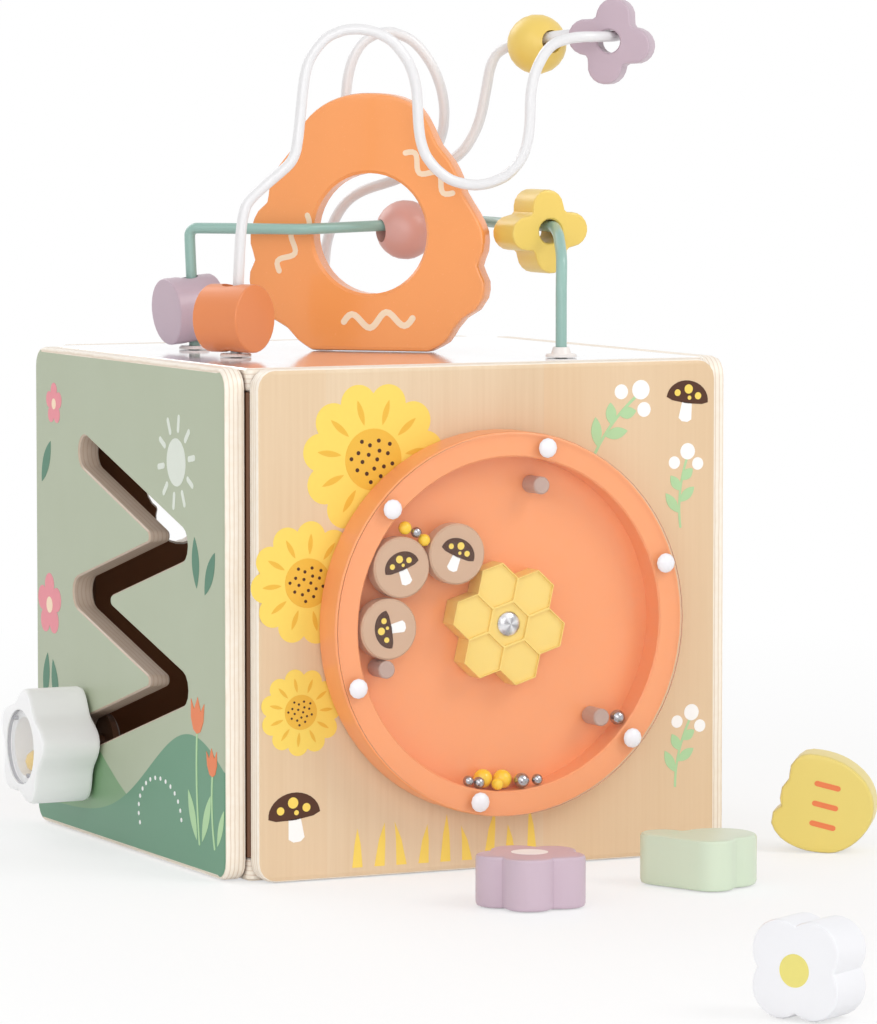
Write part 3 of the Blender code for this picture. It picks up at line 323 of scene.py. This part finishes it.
def clear(name, reflection_veil, across, edge_reflection_tint):
    """Polished acrylic, see-through face on; an even white veil and more white at a glancing
    angle are painted reflection, and the rim is painted darker in a tint as painted reflection
    in the cut edge.
    """
    look = Look(name, ACRYLIC, 0.03)
    tilt = look.add("ShaderNodeLayerWeight", {"Blend": 0.5}).outputs["Facing"]
    glance = look.math("POWER", tilt, 4.0)
    rub = look.ramp(look.noise(240.0), 0.3, 0.8, 0.0, 0.01)
    # The even white veil and the white at a glancing angle are painted reflection.
    alpha = look.math("ADD", look.math("MULTIPLY", glance, ACRYLIC_GLANCE), reflection_veil)
    alpha = look.math("ADD", alpha, rub, True)
    # Painted reflection in the cut edge: the rim turns to the tint and nearly opaque.
    rim = look.math("SUBTRACT", 1.0, facing(look, across, 0.6))
    look.set("Base Color", look.mix(rim, ACRYLIC, edge_reflection_tint))
    look.set("Alpha", look.math("MAXIMUM", alpha, look.math("MULTIPLY", rim, EDGE_REFLECTION_OPACITY)))
    return look.made


def bright_steel(name):
    """Polished steel with light scuffs."""
    look = Look(name, rgb(176, 174, 178), 0.14, 1.0)
    scuff = look.noise(900.0)
    look.set("Roughness", look.ramp(scuff, 0.25, 0.75, 0.08, 0.2))
    look.set("Base Color", look.mix(scuff, rgb(160, 158, 162), rgb(190, 188, 192)))
    return look.made


PAINTED_GLINT_SECTORS = 4.0


def steel_with_painted_glints(name, middle):
    """Turned steel with painted highlights and painted shade: bright and dark sectors round an
    axis through middle.
    """
    look = Look(name, rgb(200, 200, 204), 0.24, 1.0)
    side = look.math("SUBTRACT", look.axis("X"), middle[0])
    up = look.math("SUBTRACT", look.axis("Z"), middle[2])
    angle = look.math("ARCTAN2", up, side)
    # Painted highlights and painted shade in sectors round the axis.
    painted_glint = look.math("SINE", look.math("MULTIPLY", angle, PAINTED_GLINT_SECTORS))
    fine = look.noise(700.0, EVEN, 2.0)
    blend = look.math("ADD", look.ramp(painted_glint, -1.0, 1.0, 0.0, 0.7),
                      look.math("MULTIPLY", fine, 0.4), True)
    look.set("Base Color", look.mix(blend, rgb(150, 148, 152), rgb(240, 240, 243)))
    return look.made


DRUM_AXIS = (0.0005, 0.0, 0.098)
LOOKS = {
    "front_panel": board("birch_front", "Y", "Z", "X", 1.0),
    "back_panel": board("birch_back", "Y", "Z", "X", -1.0),
    "right_panel": board("birch_right", "X", "Z", "Y", -1.0),
    "left_panel": painted_board(),
    "bottom_board": board("birch_bottom", "Z", "X", None, 1.0),
    # A dark brown post inside the box.
    "post": paint("dark_brown_post", rgb(112, 74, 48), 0.5, 0.0, 0.12),
    "top_board": lacquered_lid(),
    "hive_board": paint("orange_board", rgb(251, 160, 90), 0.26, 0.3, 0.02),
    "green_wire": coated_wire("green_coat", rgb(150, 187, 177)),
    "white_wire": coated_wire("white_coat", rgb(233, 232, 233)),
    "collar": moulded("cream_plastic", rgb(246, 238, 233), 0.3, 0.2),
    "bead_orange_cylinder": paint("orange_bead", rgb(229, 137, 82), 0.34, 0.1, 0.03),
    "bead_lilac": paint("lilac_paint", rgb(194, 172, 184), 0.36, 0.08, 0.03),
    "block_lilac": block_paint("lilac_block_paint", rgb(203, 182, 195), 0.03),
    "bead_pink_ball": paint("pink_paint", rgb(215, 168, 160), 0.36, 0.05, 0.04),
    "bead_yellow": paint("yellow_paint", rgb(237, 204, 103), 0.36, 0.05, 0.03),
    "block_yellow": block_paint("yellow_block_paint", rgb(231, 210, 119), 0.03),
    "block_mint": block_paint("mint_paint", rgb(212, 225, 202), 0.03),
    "block_white": block_paint("white_paint", rgb(236, 236, 239), 0.01),
    "drum_tray": moulded("drum_shell", rgb(249, 163, 108), 0.34, 0.05),
    # The veil amount and the edge tint of each clear look are painted reflection.
    "drum_window": clear("drum_acrylic", 0.012, "Y", rgb(176, 104, 78)),
    "slider_window": clear("knob_acrylic", 0.04, "X", rgb(190, 190, 196)),
    "drum_rivet": moulded("rivet_plastic", rgb(244, 242, 246), 0.3, 0.2),
    "slider_knob": moulded("knob_plastic", rgb(252, 252, 252), 0.3, 0.1, rgb(249, 248, 249)),
    "slider_retainer": moulded("retainer_plastic", rgb(92, 62, 44), 0.42),
    "drum_pin": moulded("pin_plastic", rgb(190, 162, 150), 0.45),
    "drum_hub": moulded("comb_plastic", rgb(241, 206, 108), 0.36, 0.05, rgb(246, 216, 124)),
    "drum_disc": paint("disc_paint", rgb(205, 170, 142), 0.42, 0.0, 0.05),
    "drum_bolt": steel_with_painted_glints("bolt_steel", DRUM_AXIS),
    "drum_nut": bright_steel("nut_steel"),
    "ball_steel": bright_steel("ball_steel"),
    "ball_yellow": moulded("yellow_ball_plastic", rgb(255, 210, 34), 0.25, 0.3),
    "slider_bead": moulded("knob_bead_plastic", rgb(250, 208, 92), 0.3, 0.2),
}


def look_for(name):
    """The look whose name starts the node's name; the longest match wins."""
    fits = [key for key in LOOKS if name.startswith(key)]
    return LOOKS[max(fits, key=len)]


for name, item in nodes.items():
    for place in item.material_slots:
        place.link = "OBJECT"
        place.material = look_for(name)


class Plane:
    """A printing plane in millimetres: u to the right, v up, w out of the surface."""

    def __init__(self, origin, u_axis, v_axis):
        self.origin = Vector(origin)
        self.u = Vector(u_axis).normalized()
        self.v = Vector(v_axis).normalized()
        self.w = self.u.cross(self.v)

    def at(self, u, v, w):
        return (self.origin + self.u * u + self.v * v + self.w * w) * MM


AXIS_X = (1.0, 0.0, 0.0)
AXIS_Y = (0.0, 1.0, 0.0)
AXIS_Z = (0.0, 0.0, 1.0)
HIVE_HALF_THICK = 5.0
HIVE_SHIFT = HIVE_HALF_THICK / math.sqrt(2.0)
FRONT = Plane((0.0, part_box("front_panel")[0][1] / MM, 0.0), AXIS_X, AXIS_Z)
LEFT = Plane((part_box("left_panel")[0][0] / MM, 0.0, 0.0), (0.0, -1.0, 0.0), AXIS_Z)
HIVE = Plane((-HIVE_SHIFT, -HIVE_SHIFT, 0.0), (1.0, -1.0, 0.0), AXIS_Z)
WHITE_BLOCK_FACE = Plane((-62.2, -461.6, 16.69), (0.505, -0.863, 0.0), AXIS_Z)
YELLOW_BLOCK_FACE = Plane((139.6, -129.6, 0.0), (0.816, -0.578, 0.0), AXIS_Z)


def turned(points, angle, u=0.0, v=0.0, size=1.0):
    """The points turned by an angle in degrees and scaled, then moved to (u, v)."""
    c = math.cos(math.radians(angle)) * size
    s = math.sin(math.radians(angle)) * size
    return [(u + a * c - b * s, v + a * s + b * c) for a, b in points]


def round_spot(radius, u=0.0, v=0.0, count=40):
    """A circle round (u, v)."""
    out = []
    for k in range(count):
        angle = 2.0 * math.pi * k / count
        out.append((u + radius * math.cos(angle), v + radius * math.sin(angle)))
    return out


CURVE_STEPS = 14
CAP_STEPS = 6


def leaf(length, width):
    """A pointed leaf from the origin along +u."""
    upper = []
    for k in range(CURVE_STEPS + 1):
        t = k / CURVE_STEPS
        upper.append((length * t, width * math.sin(math.pi * t) ** 0.85 / 2.0))
    lower = [(a, -b) for a, b in reversed(upper[1:-1])]
    return upper + lower


def stroke(path, width):
    """An open line of the given width with round ends."""
    left, right = [], []
    for k, (a, b) in enumerate(path):
        c, d = path[min(k + 1, len(path) - 1)]
        e, f = path[max(k - 1, 0)]
        run = Vector((c - e, d - f)).normalized() * (width / 2.0)
        left.append((a - run.y, b + run.x))
        right.append((a + run.y, b - run.x))
    caps = []
    for (a, b), (c, d) in ((left[-1], right[-1]), (right[0], left[0])):
        centre = Vector(((a + c) / 2.0, (b + d) / 2.0))
        arm = Vector((a, b)) - centre
        cap = []
        for k in range(1, CAP_STEPS):
            angle = -math.pi * k / CAP_STEPS
            cap.append((centre.x + arm.x * math.cos(angle) - arm.y * math.sin(angle),
                        centre.y + arm.x * math.sin(angle) + arm.y * math.cos(angle)))
        caps.append(cap)
    return left + caps[0] + right[::-1] + caps[1]


def curve(start, bend, end):
    """A path from start to end, drawn towards bend."""
    out = []
    for k in range(CURVE_STEPS + 1):
        t = k / CURVE_STEPS
        out.append(tuple((1 - t) ** 2 * a + 2 * t * (1 - t) * b + t * t * c
                         for a, b, c in zip(start, bend, end)))
    return out


INK_FOOT = 0.004
INK_THICK = 0.09
INK_STEP = 0.05


def printed(name, plane, outlines, look, body, layer=0):
    """Thin closed islands of ink on a surface; a higher layer stands above a lower one."""
    bm = bmesh.new()
    low = INK_FOOT
    high = INK_THICK + INK_STEP * layer
    for outline in outlines:
        rows = [[bm.verts.new(plane.at(u, v, w)) for u, v in outline] for w in (low, high)]
        count = len(outline)
        for k in range(count):
            j = (k + 1) % count
            bm.faces.new((rows[0][k], rows[0][j], rows[1][j], rows[1][k]))
        for triangle in tessellate_polygon([[Vector((u, v, 0.0)) for u, v in outline]]):
            for row in rows:
                bm.faces.new([row[index] for index in triangle])
    bmesh.ops.recalc_face_normals(bm, faces=bm.faces)
    mesh = bpy.data.meshes.new(name)
    bm.to_mesh(mesh)
    bm.free()
    mesh.materials.append(look)
    item = bpy.data.objects.new(name, mesh)
    bpy.context.scene.collection.objects.link(item)
    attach(item, body)
    return item


def ink(name, colour):
    """Printing ink with a slight drift of shade."""
    look = Look(name, colour, 0.4)
    look.set("Specular IOR Level", LOW_SHINE)
    drift = look.noise(500.0)
    look.set("Base Color", look.mix(drift, shaded(colour, 0.96), colour))
    look.bump(look.noise(1500.0, EVEN, 2.0), 0.00002, 0.3)
    return look.made


WHITE_INK = ink("ink_white", rgb(250, 249, 247))
YELLOW_INK = ink("ink_yellow", rgb(247, 216, 104))
LEMON_INK = ink("ink_lemon", rgb(232, 220, 126))
AMBER_INK = ink("ink_amber", rgb(236, 187, 72))
BROWN_INK = ink("ink_brown", rgb(84, 54, 40))
GREEN_INK = ink("ink_green", rgb(178, 214, 164))
LEAF_INK = ink("ink_leaf", rgb(84, 132, 108))
PINK_INK = ink("ink_pink", rgb(236, 146, 156))
ORANGE_INK = ink("ink_orange", rgb(236, 132, 84))
CREAM_INK = ink("ink_cream", rgb(252, 226, 196))
PALE_INK = ink("ink_pale", rgb(224, 230, 219))


PETAL_STEPS = 16


def flower(count, length, width, u, v, turn):
    """The joined outline of a ring of petals round (u, v)."""
    out = []
    for k in range(count * PETAL_STEPS):
        angle = 2.0 * math.pi * k / (count * PETAL_STEPS)
        off = (angle * count / (2.0 * math.pi) + 0.5) % 1.0 - 0.5
        side = 2.0 * math.pi * off / count
        centre = length - width / 2.0
        across = centre * math.sin(side)
        reach = centre * math.cos(side)
        if abs(across) < width / 2.0:
            reach += math.sqrt(width * width / 4.0 - across * across)
        out.append((reach * math.cos(angle), reach * math.sin(angle)))
    return turned(out, turn, u, v)


SUNFLOWERS = ((-51.0, 163.0, 30.0, 8.0), (-79.0, 116.0, 24.0, 20.0),
              (-82.0, 66.0, 17.0, 3.0))
SUNFLOWER_PETALS = 11
SEEDS = 18
SEED_TURN = 2.39996
SPRIGS = ((44.0, 159.0, 52.0, 1.3), (84.0, 132.0, 84.0, 1.1), (82.0, 28.0, 76.0, 1.1))
SPRIG_LEAVES = ((5.0, 1.0), (9.0, -1.0), (13.0, 1.0), (17.0, -1.0))
SPRIG_BERRIES = ((27.5, 0.0, 3.0), (23.0, 5.0, 2.3), (23.4, -4.6, 2.3))
GRASS_BLADES = 9
GRASS_START, GRASS_PITCH, GRASS_FOOT = -58.0, 9.5, 4.0
FRONT_TOADSTOOLS = ((-84.0, 18.0, 6.0, 1.0), (86.0, 176.0, -8.0, 0.85))


def sunflowers():
    """Sunflowers down the left of the drum, each as (u, v, size, turn)."""
    rings, veins, hearts, seeds = [], [], [], []
    for u, v, size, turn in SUNFLOWERS:
        for k in range(SUNFLOWER_PETALS):
            angle = turn + 360.0 * k / SUNFLOWER_PETALS
            tip = turned([(size * 0.46, 0.0)], angle, u, v)[0]
            veins.append(turned(leaf(size * 0.34, size * 0.08), angle, *tip))
        rings.append(flower(SUNFLOWER_PETALS, size, size * 0.5, u, v, turn))
        hearts.append(round_spot(size * 0.4, u, v))
        for k in range(SEEDS):
            reach = size * 0.075 * math.sqrt(k + 0.5)
            angle = SEED_TURN * k
            seeds.append(round_spot(size * 0.028, u + reach * math.cos(angle),
                                    v + reach * math.sin(angle), 10))
    printed("print_sunflower_petals", FRONT, rings, YELLOW_INK, "cube")
    printed("print_sunflower_veins", FRONT, veins, AMBER_INK, "cube", 1)
    printed("print_sunflower_hearts", FRONT, hearts, AMBER_INK, "cube", 2)
    printed("print_sunflower_seeds", FRONT, seeds, BROWN_INK, "cube", 3)


def sprigs():
    """Leafy sprigs with white berries, each as (u, v, turn, size)."""
    stems, leaves, berries = [], [], []
    stem = stroke(curve((0.0, 0.0), (12.0, 3.0), (25.0, 0.0)), 0.9)
    for u, v, turn, size in SPRIGS:
        stems.append(turned(stem, turn, u, v, size))
        for k, (a, side) in enumerate(SPRIG_LEAVES):
            blade = turned(leaf(9.0 - k, 3.6), 42.0 * side, a, 1.3)
            leaves.append(turned(blade, turn, u, v, size))
        for a, b, radius in SPRIG_BERRIES:
            berries.append(turned(round_spot(radius, a, b, 20), turn, u, v, size))
    printed("print_sprig_stems", FRONT, stems, GREEN_INK, "cube")
    printed("print_sprig_leaves", FRONT, leaves, GREEN_INK, "cube", 1)
    printed("print_sprig_berries", FRONT, berries, WHITE_INK, "cube", 1)


def grass():
    """Blades of grass along the foot of the front panel."""
    blades = []
    for k in range(GRASS_BLADES):
        base = GRASS_START + GRASS_PITCH * k
        tall = 13.0 + 7.0 * math.sin(1.7 * k + 0.6) ** 2
        lean = 3.0 * math.sin(2.3 * k)
        shoulder = GRASS_FOOT + tall * 0.6
        blades.append([(base - 2.2, GRASS_FOOT), (base + 2.2, GRASS_FOOT),
                       (base + 1.4 + lean * 0.5, shoulder),
                       (base + lean, GRASS_FOOT + tall),
                       (base - 1.2 + lean * 0.4, shoulder)])
    printed("print_grass", FRONT, blades, YELLOW_INK, "cube")


DOME_STEPS = 16
TOADSTOOL_CAP = [(11.0 * math.cos(math.pi * k / DOME_STEPS),
                  9.0 * math.sin(math.pi * k / DOME_STEPS) + 8.0)
                 for k in range(DOME_STEPS + 1)]
TOADSTOOL_CAP += [(-8.0, 6.8), (0.0, 6.2), (8.0, 6.8)]
TOADSTOOL_STALK = [(-2.6, 6.6), (-3.4, -1.0), (-1.5, -2.4), (1.5, -2.4), (3.4, -1.0),
                   (2.6, 6.6)]
TOADSTOOL_SPOTS = ((0.0, 13.0, 2.2), (-5.6, 10.6, 1.6), (5.4, 10.4, 1.7), (1.0, 9.0, 1.0))


def toadstools(tag, plane, places, body):
    """Dark toadstools with yellow spots, each as (u, v, turn, size)."""
    caps, stalks, spots = [], [], []
    for u, v, turn, size in places:
        caps.append(turned(TOADSTOOL_CAP, turn, u, v, size))
        stalks.append(turned(TOADSTOOL_STALK, turn, u, v, size))
        for a, b, radius in TOADSTOOL_SPOTS:
            spots.append(turned(round_spot(radius, a, b, 16), turn, u, v, size))
    printed("print_%s_toadstool_caps" % tag, plane, caps, BROWN_INK, body)
    printed("print_%s_toadstool_stalks" % tag, plane, stalks, WHITE_INK, body)
    printed("print_%s_toadstool_spots" % tag, plane, spots, YELLOW_INK, body,
            1)


def front_prints():
    """Everything printed on the drum panel."""
    sunflowers()
    sprigs()
    grass()
    toadstools("front", FRONT, FRONT_TOADSTOOLS, "cube")


SUN = (52.0, 160.0)
SUN_RADIUS, SUN_RAYS = 9.5, 10
TULIP_CUP = [(-6.0, 9.0), (-5.6, 2.5), (-3.2, -1.6), (0.0, -2.8), (3.2, -1.6), (5.6, 2.5),
             (6.0, 9.0), (2.9, 5.6), (0.0, 10.4), (-2.9, 5.6)]
TULIPS = ((72.0, 58.0, 1.1, -4.0, (1.0, -1.0)), (87.0, 42.0, 0.85, 5.0, (1.0,)))
TULIP_FOOT = 12.0
BLOSSOMS = ((-84.0, 92.0, 1.2, 3.4), (-78.0, 176.0, 0.8, 2.3))
SPRAYS = ((-90.0, 52.0, 80.0), (-76.0, 50.0, 104.0), (-92.0, 143.0, 60.0),
          (72.0, 112.0, 96.0), (80.0, 110.0, 60.0))
ARC_DOTS = 15
ARC_MIDDLE = (34.0, 18.0)
ARC_REACH = (22.0, 15.0)


def sun():
    """A pale sun with short rays."""
    ray = stroke([(13.0, 0.0), (18.0, 0.0)], 2.4)
    rays = [turned(ray, 360.0 / SUN_RAYS * k + 9.0, *SUN) for k in range(SUN_RAYS)]
    printed("print_sun", LEFT, [round_spot(SUN_RADIUS, *SUN)] + rays, PALE_INK, "cube")


def tulips():
    """Tulips on the near hill, each as (u, v, size, slant, sides that bear a leaf)."""
    cups, stems, blades = [], [], []
    for u, v, size, slant, sides in TULIPS:
        cups.append(turned(TULIP_CUP, slant, u, v, size))
        foot = (u + 2.0, TULIP_FOOT)
        stems.append(stroke(curve((u, v - 2.0 * size), (u - 2.0, v * 0.6), foot), 1.5))
        for side in sides:
            blades.append(turned(leaf(19.0 * size, 5.0 * size), 90.0 - 24.0 * side,
                                 foot[0] + 2.6 * side, TULIP_FOOT + 1.0))
    printed("print_tulip_cups", LEFT, cups, ORANGE_INK, "cube", 2)
    printed("print_tulip_stems", LEFT, stems, GREEN_INK, "cube", 1)
    printed("print_tulip_leaves", LEFT, blades, GREEN_INK, "cube")


def blossoms():
    """Pink blossoms, each as (u, v, size, radius of its heart)."""
    heads = [flower(5, 11.0 * size, 8.5 * size, u, v, 18.0)
             for u, v, size, heart in BLOSSOMS]
    printed("print_pink_blossoms", LEFT, heads, PINK_INK, "cube")
    hearts = [round_spot(heart, u, v, 20) for u, v, size, heart in BLOSSOMS]
    printed("print_pink_blossom_hearts", LEFT, hearts, CREAM_INK, "cube", 1)


def left_prints():
    """Everything printed on the painted panel; a spray is (u, v, turn)."""
    sun()
    tulips()
    blossoms()
    sprays = [turned(leaf(20.0, 7.0), turn, u, v) for u, v, turn in SPRAYS]
    printed("print_leaf_sprays", LEFT, sprays, LEAF_INK, "cube")
    dots = []
    for k in range(ARC_DOTS):
        angle = math.radians(200.0 - 14.0 * k)
        dots.append(round_spot(0.9, ARC_MIDDLE[0] + ARC_REACH[0] * math.cos(angle),
                               ARC_MIDDLE[1] + ARC_REACH[1] * math.sin(angle), 12))
    printed("print_dotted_arc", LEFT, dots, WHITE_INK, "cube", 1)


WAVES = ((-33.0, 243.0, 62.0, 1.0), (26.0, 272.0, -38.0, 1.0), (4.0, 212.0, 4.0, 1.15))
WAVE_HALF, WAVE_STEPS = 13.0, 24
DISC_TURNS = ((1, 20.0), (2, -24.0), (3, 100.0))
DISC_DROP, DISC_SCALE = -5.4, 0.68
LILAC_DOT, WHITE_DOT = 7.0, 5.6
BARS = ((10.0, -1.0), (18.0, 0.0), (26.0, 1.0))


def hive_prints():
    """Wavy strokes on the standing board, each as (u, v, turn, size)."""
    path = []
    for k in range(WAVE_STEPS + 1):
        along = -WAVE_HALF + 2.0 * WAVE_HALF * k / WAVE_STEPS
        path.append((along, 2.6 * math.sin(along * 0.48)))
    wave = stroke(path, 2.3)
    waves = [turned(wave, turn, u, v, size) for u, v, turn, size in WAVES]
    printed("print_board_waves", HIVE, waves, CREAM_INK, "cube")


def disc_prints():
    """A toadstool on each loose disc in the drum."""
    for k, turn in DISC_TURNS:
        low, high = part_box("drum_disc_%d" % k)
        middle = [(a + b) / 2.0 / MM for a, b in zip(low, high)]
        plane = Plane((middle[0], low[1] / MM, middle[2]), AXIS_X, AXIS_Z)
        place = (*turned([(0.0, DISC_DROP)], turn)[0], turn, DISC_SCALE)
        toadstools("disc_%d" % k, plane, (place,), "drum_discs")


def block_prints():
    """A dot on two of the blocks and three bars on the yellow one."""
    low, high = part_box("block_lilac_flower")
    top = Plane(((low[0] + high[0]) / 2.0 / MM, (low[1] + high[1]) / 2.0 / MM,
                 high[2] / MM), AXIS_X, AXIS_Y)
    printed("print_lilac_block_dot", top, [round_spot(LILAC_DOT)], WHITE_INK,
            "lilac_block")
    printed("print_white_block_dot", WHITE_BLOCK_FACE, [round_spot(WHITE_DOT)], LEMON_INK,
            "white_block")
    bars = [stroke(curve((-4.2 + shift, v + 2.0), (shift, v + 1.0), (4.2 + shift, v)), 2.2)
            for v, shift in BARS]
    printed("print_yellow_block_bars", YELLOW_BLOCK_FACE, bars, ORANGE_INK,
            "yellow_block")


RECORD = frame["record"]
HOMES = {node: body for body, names in RECORD["behaviour"]["bodies"].items()
         for node in names}
MERGE = 1e-6
SHARP = 38.0
WIRE_LEVELS = 2
WIRE_SWELL = 0.00008
BALL_SEGMENTS, BALL_RINGS = 28, 18


def stand_in(name, mesh):
    """A piece that takes the place of a node."""
    mesh.shade_smooth()
    mesh.materials.append(look_for(name))
    item = bpy.data.objects.new(name + "_smooth", mesh)
    bpy.context.scene.collection.objects.link(item)
    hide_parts(name)
    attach(item, HOMES[name])
    return item


def round_wire(item):
    """A rod's sides rounded, then swollen by what the rounding took off."""
    rounder = item.modifiers.new("rounder", "SUBSURF")
    rounder.levels = WIRE_LEVELS
    rounder.render_levels = WIRE_LEVELS
    thicker = item.modifiers.new("thicker", "DISPLACE")
    thicker.strength = WIRE_SWELL
    thicker.mid_level = 0.0


def smooth_pieces():
    """The nodes again, each shaded smooth over its rounded edges and round faces."""
    for name, node in nodes.items():
        if name.startswith("ball_"):
            continue
        bm = bmesh.new()
        bm.from_mesh(node.data)
        bm.transform(node.matrix_world)
        bmesh.ops.remove_doubles(bm, verts=bm.verts, dist=MERGE)
        bm.verts.index_update()
        mesh = bpy.data.meshes.new(name + "_smooth")
        mesh.from_pydata([tuple(vert.co) for vert in bm.verts], [],
                         [[vert.index for vert in face.verts] for face in bm.faces])
        bm.free()
        item = stand_in(name, mesh)
        mesh.set_sharp_from_angle(angle=math.radians(SHARP))
        if name.endswith("_wire"):
            round_wire(item)
            continue
        weigh = item.modifiers.new("even_normals", "WEIGHTED_NORMAL")
        weigh.mode = "FACE_AREA_WITH_ANGLE"
        weigh.keep_sharp = True


def ball_mesh(name, middle, radius):
    """A round ball: rings of quads between a fan of triangles at each pole."""
    points = [middle + Vector((0.0, 0.0, radius))]
    for ring in range(1, BALL_RINGS):
        tilt = math.pi * ring / BALL_RINGS
        for k in range(BALL_SEGMENTS):
            turn = 2.0 * math.pi * k / BALL_SEGMENTS
            points.append(middle + Vector((math.sin(tilt) * math.cos(turn),
                                           math.sin(tilt) * math.sin(turn),
                                           math.cos(tilt))) * radius)
    points.append(middle - Vector((0.0, 0.0, radius)))
    last = len(points) - 1
    faces = []
    for k in range(BALL_SEGMENTS):
        j = (k + 1) % BALL_SEGMENTS
        faces.append((0, 1 + k, 1 + j))
        for ring in range(BALL_RINGS - 2):
            top = 1 + ring * BALL_SEGMENTS
            foot = top + BALL_SEGMENTS
            faces.append((top + k, foot + k, foot + j, top + j))
        faces.append((last, last - BALL_SEGMENTS + j, last - BALL_SEGMENTS + k))
    mesh = bpy.data.meshes.new(name + "_smooth")
    mesh.from_pydata([tuple(point) for point in points], [], faces)
    return mesh


def round_balls():
    """Smooth balls in place of the coarse ones in the drum."""
    for name in nodes:
        if not name.startswith("ball_"):
            continue
        low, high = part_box(name)
        middle = (Vector(low) + Vector(high)) / 2.0
        radius = max(b - a for a, b in zip(low, high)) / 2.0
        stand_in(name, ball_mesh(name, middle, radius))


front_prints()
left_prints()
hive_prints()
disc_prints()
block_prints()
smooth_pieces()
round_balls()


WHITE = (1.0, 1.0, 1.0, 1.0)
FLOOR_WHITE = (0.96, 0.96, 0.96, 1.0)
FLOOR_HALF = 12.0
FLOOR_LEVEL = -0.0004
FADE_START, FADE_END = 0.35, 0.85
FADE_NEAR = 0.6
WORLD_LIGHT = 0.62


def floor():
    """A pale floor that fades to plain white away from the toy."""
    look = Look("floor_white", FLOOR_WHITE, 0.6)
    rays = look.add("ShaderNodeLightPath")
    seen = look.math("MAXIMUM", rays.outputs["Is Camera Ray"], rays.outputs["Is Glossy Ray"])
    seen = look.math("MAXIMUM", seen, rays.outputs["Is Transmission Ray"])
    away = look.add("ShaderNodeVectorMath", {0: look.where.outputs["Object"]},
                    operation="LENGTH").outputs["Value"]
    fade = look.ramp(away, FADE_START, FADE_END, FADE_NEAR, 1.0)
    glow = look.add("ShaderNodeEmission", {"Color": WHITE})
    both = look.add("ShaderNodeMixShader", {0: look.math("MULTIPLY", seen, fade),
                                            1: look.shader.outputs[0],
                                            2: glow.outputs[0]})
    end = look.tree.nodes["Material Output"]
    look.tree.links.new(both.outputs[0], end.inputs["Surface"])
    mesh = bpy.data.meshes.new("floor")
    corners = ((-1, -1), (1, -1), (1, 1), (-1, 1))
    mesh.from_pydata([(x * FLOOR_HALF, y * FLOOR_HALF, FLOOR_LEVEL) for x, y in corners],
                     [], [(0, 1, 2, 3)])
    mesh.materials.append(look.made)
    item = bpy.data.objects.new("floor", mesh)
    bpy.context.scene.collection.objects.link(item)


def surroundings():
    """White where it is seen or mirrored, and a softer light everywhere else."""
    world = bpy.data.worlds.new("studio")
    bpy.context.scene.world = world
    world.use_nodes = True
    tree = world.node_tree
    back = tree.nodes["Background"]
    back.inputs["Color"].default_value = WHITE
    rays = tree.nodes.new("ShaderNodeLightPath")
    seen = rays.outputs["Is Camera Ray"]
    for kind in ("Is Glossy Ray", "Is Transmission Ray"):
        node = tree.nodes.new("ShaderNodeMath")
        node.operation = "MAXIMUM"
        tree.links.new(seen, node.inputs[0])
        tree.links.new(rays.outputs[kind], node.inputs[1])
        seen = node.outputs[0]
    level = tree.nodes.new("ShaderNodeMapRange")
    tree.links.new(seen, level.inputs["Value"])
    level.inputs["To Min"].default_value = WORLD_LIGHT
    level.inputs["To Max"].default_value = 1.0
    tree.links.new(level.outputs[0], back.inputs["Strength"])


LAMPS = (
    ("key", (1.3, -1.7, 1.9), (0.0, 0.0, 0.15), 1.2, 20.0),
    ("front", (-0.9, -2.1, 0.7), (-0.1, 0.0, 0.1), 1.2, 9.0),
    ("fill", (-1.8, -1.2, 1.3), (0.0, 0.0, 0.15), 1.6, 7.0),
    ("back", (-0.6, 1.9, 1.6), (0.0, 0.0, 0.2), 1.4, 13.0),
)


def lamp(name, place, target, size, power):
    """A square lamp at a place, aimed at a target."""
    light = bpy.data.lights.new(name, "AREA")
    light.shape = "SQUARE"
    light.size = size
    light.energy = power
    item = bpy.data.objects.new(name, light)
    item.location = place
    aim = Vector(target) - Vector(place)
    item.rotation_euler = aim.to_track_quat("-Z", "Y").to_euler()
    bpy.context.scene.collection.objects.link(item)


SENSOR = 36.0
FOCAL_PIXELS = 5338.0
PHOTO_HEIGHT = 1024.0
CAMERA_PLACE = (-0.92187, -1.97981, 0.30747)
CAMERA_DOWN = 4.57
CAMERA_TURN = -25.67


def camera():
    """The camera at the photograph's place and viewing angle."""
    made = bpy.data.cameras.new("photo")
    made.sensor_fit = "VERTICAL"
    made.sensor_height = SENSOR
    made.lens = FOCAL_PIXELS * SENSOR / PHOTO_HEIGHT
    made.clip_start = 0.05
    made.clip_end = 60.0
    item = bpy.data.objects.new("photo", made)
    item.location = CAMERA_PLACE
    item.rotation_euler = (math.radians(90.0 - CAMERA_DOWN), 0.0,
                           math.radians(CAMERA_TURN))
    bpy.context.scene.collection.objects.link(item)
    bpy.context.scene.camera = item


floor()
surroundings()
for entry in LAMPS:
    lamp(*entry)
camera()
bpy.context.scene.view_settings.view_transform = "Standard"
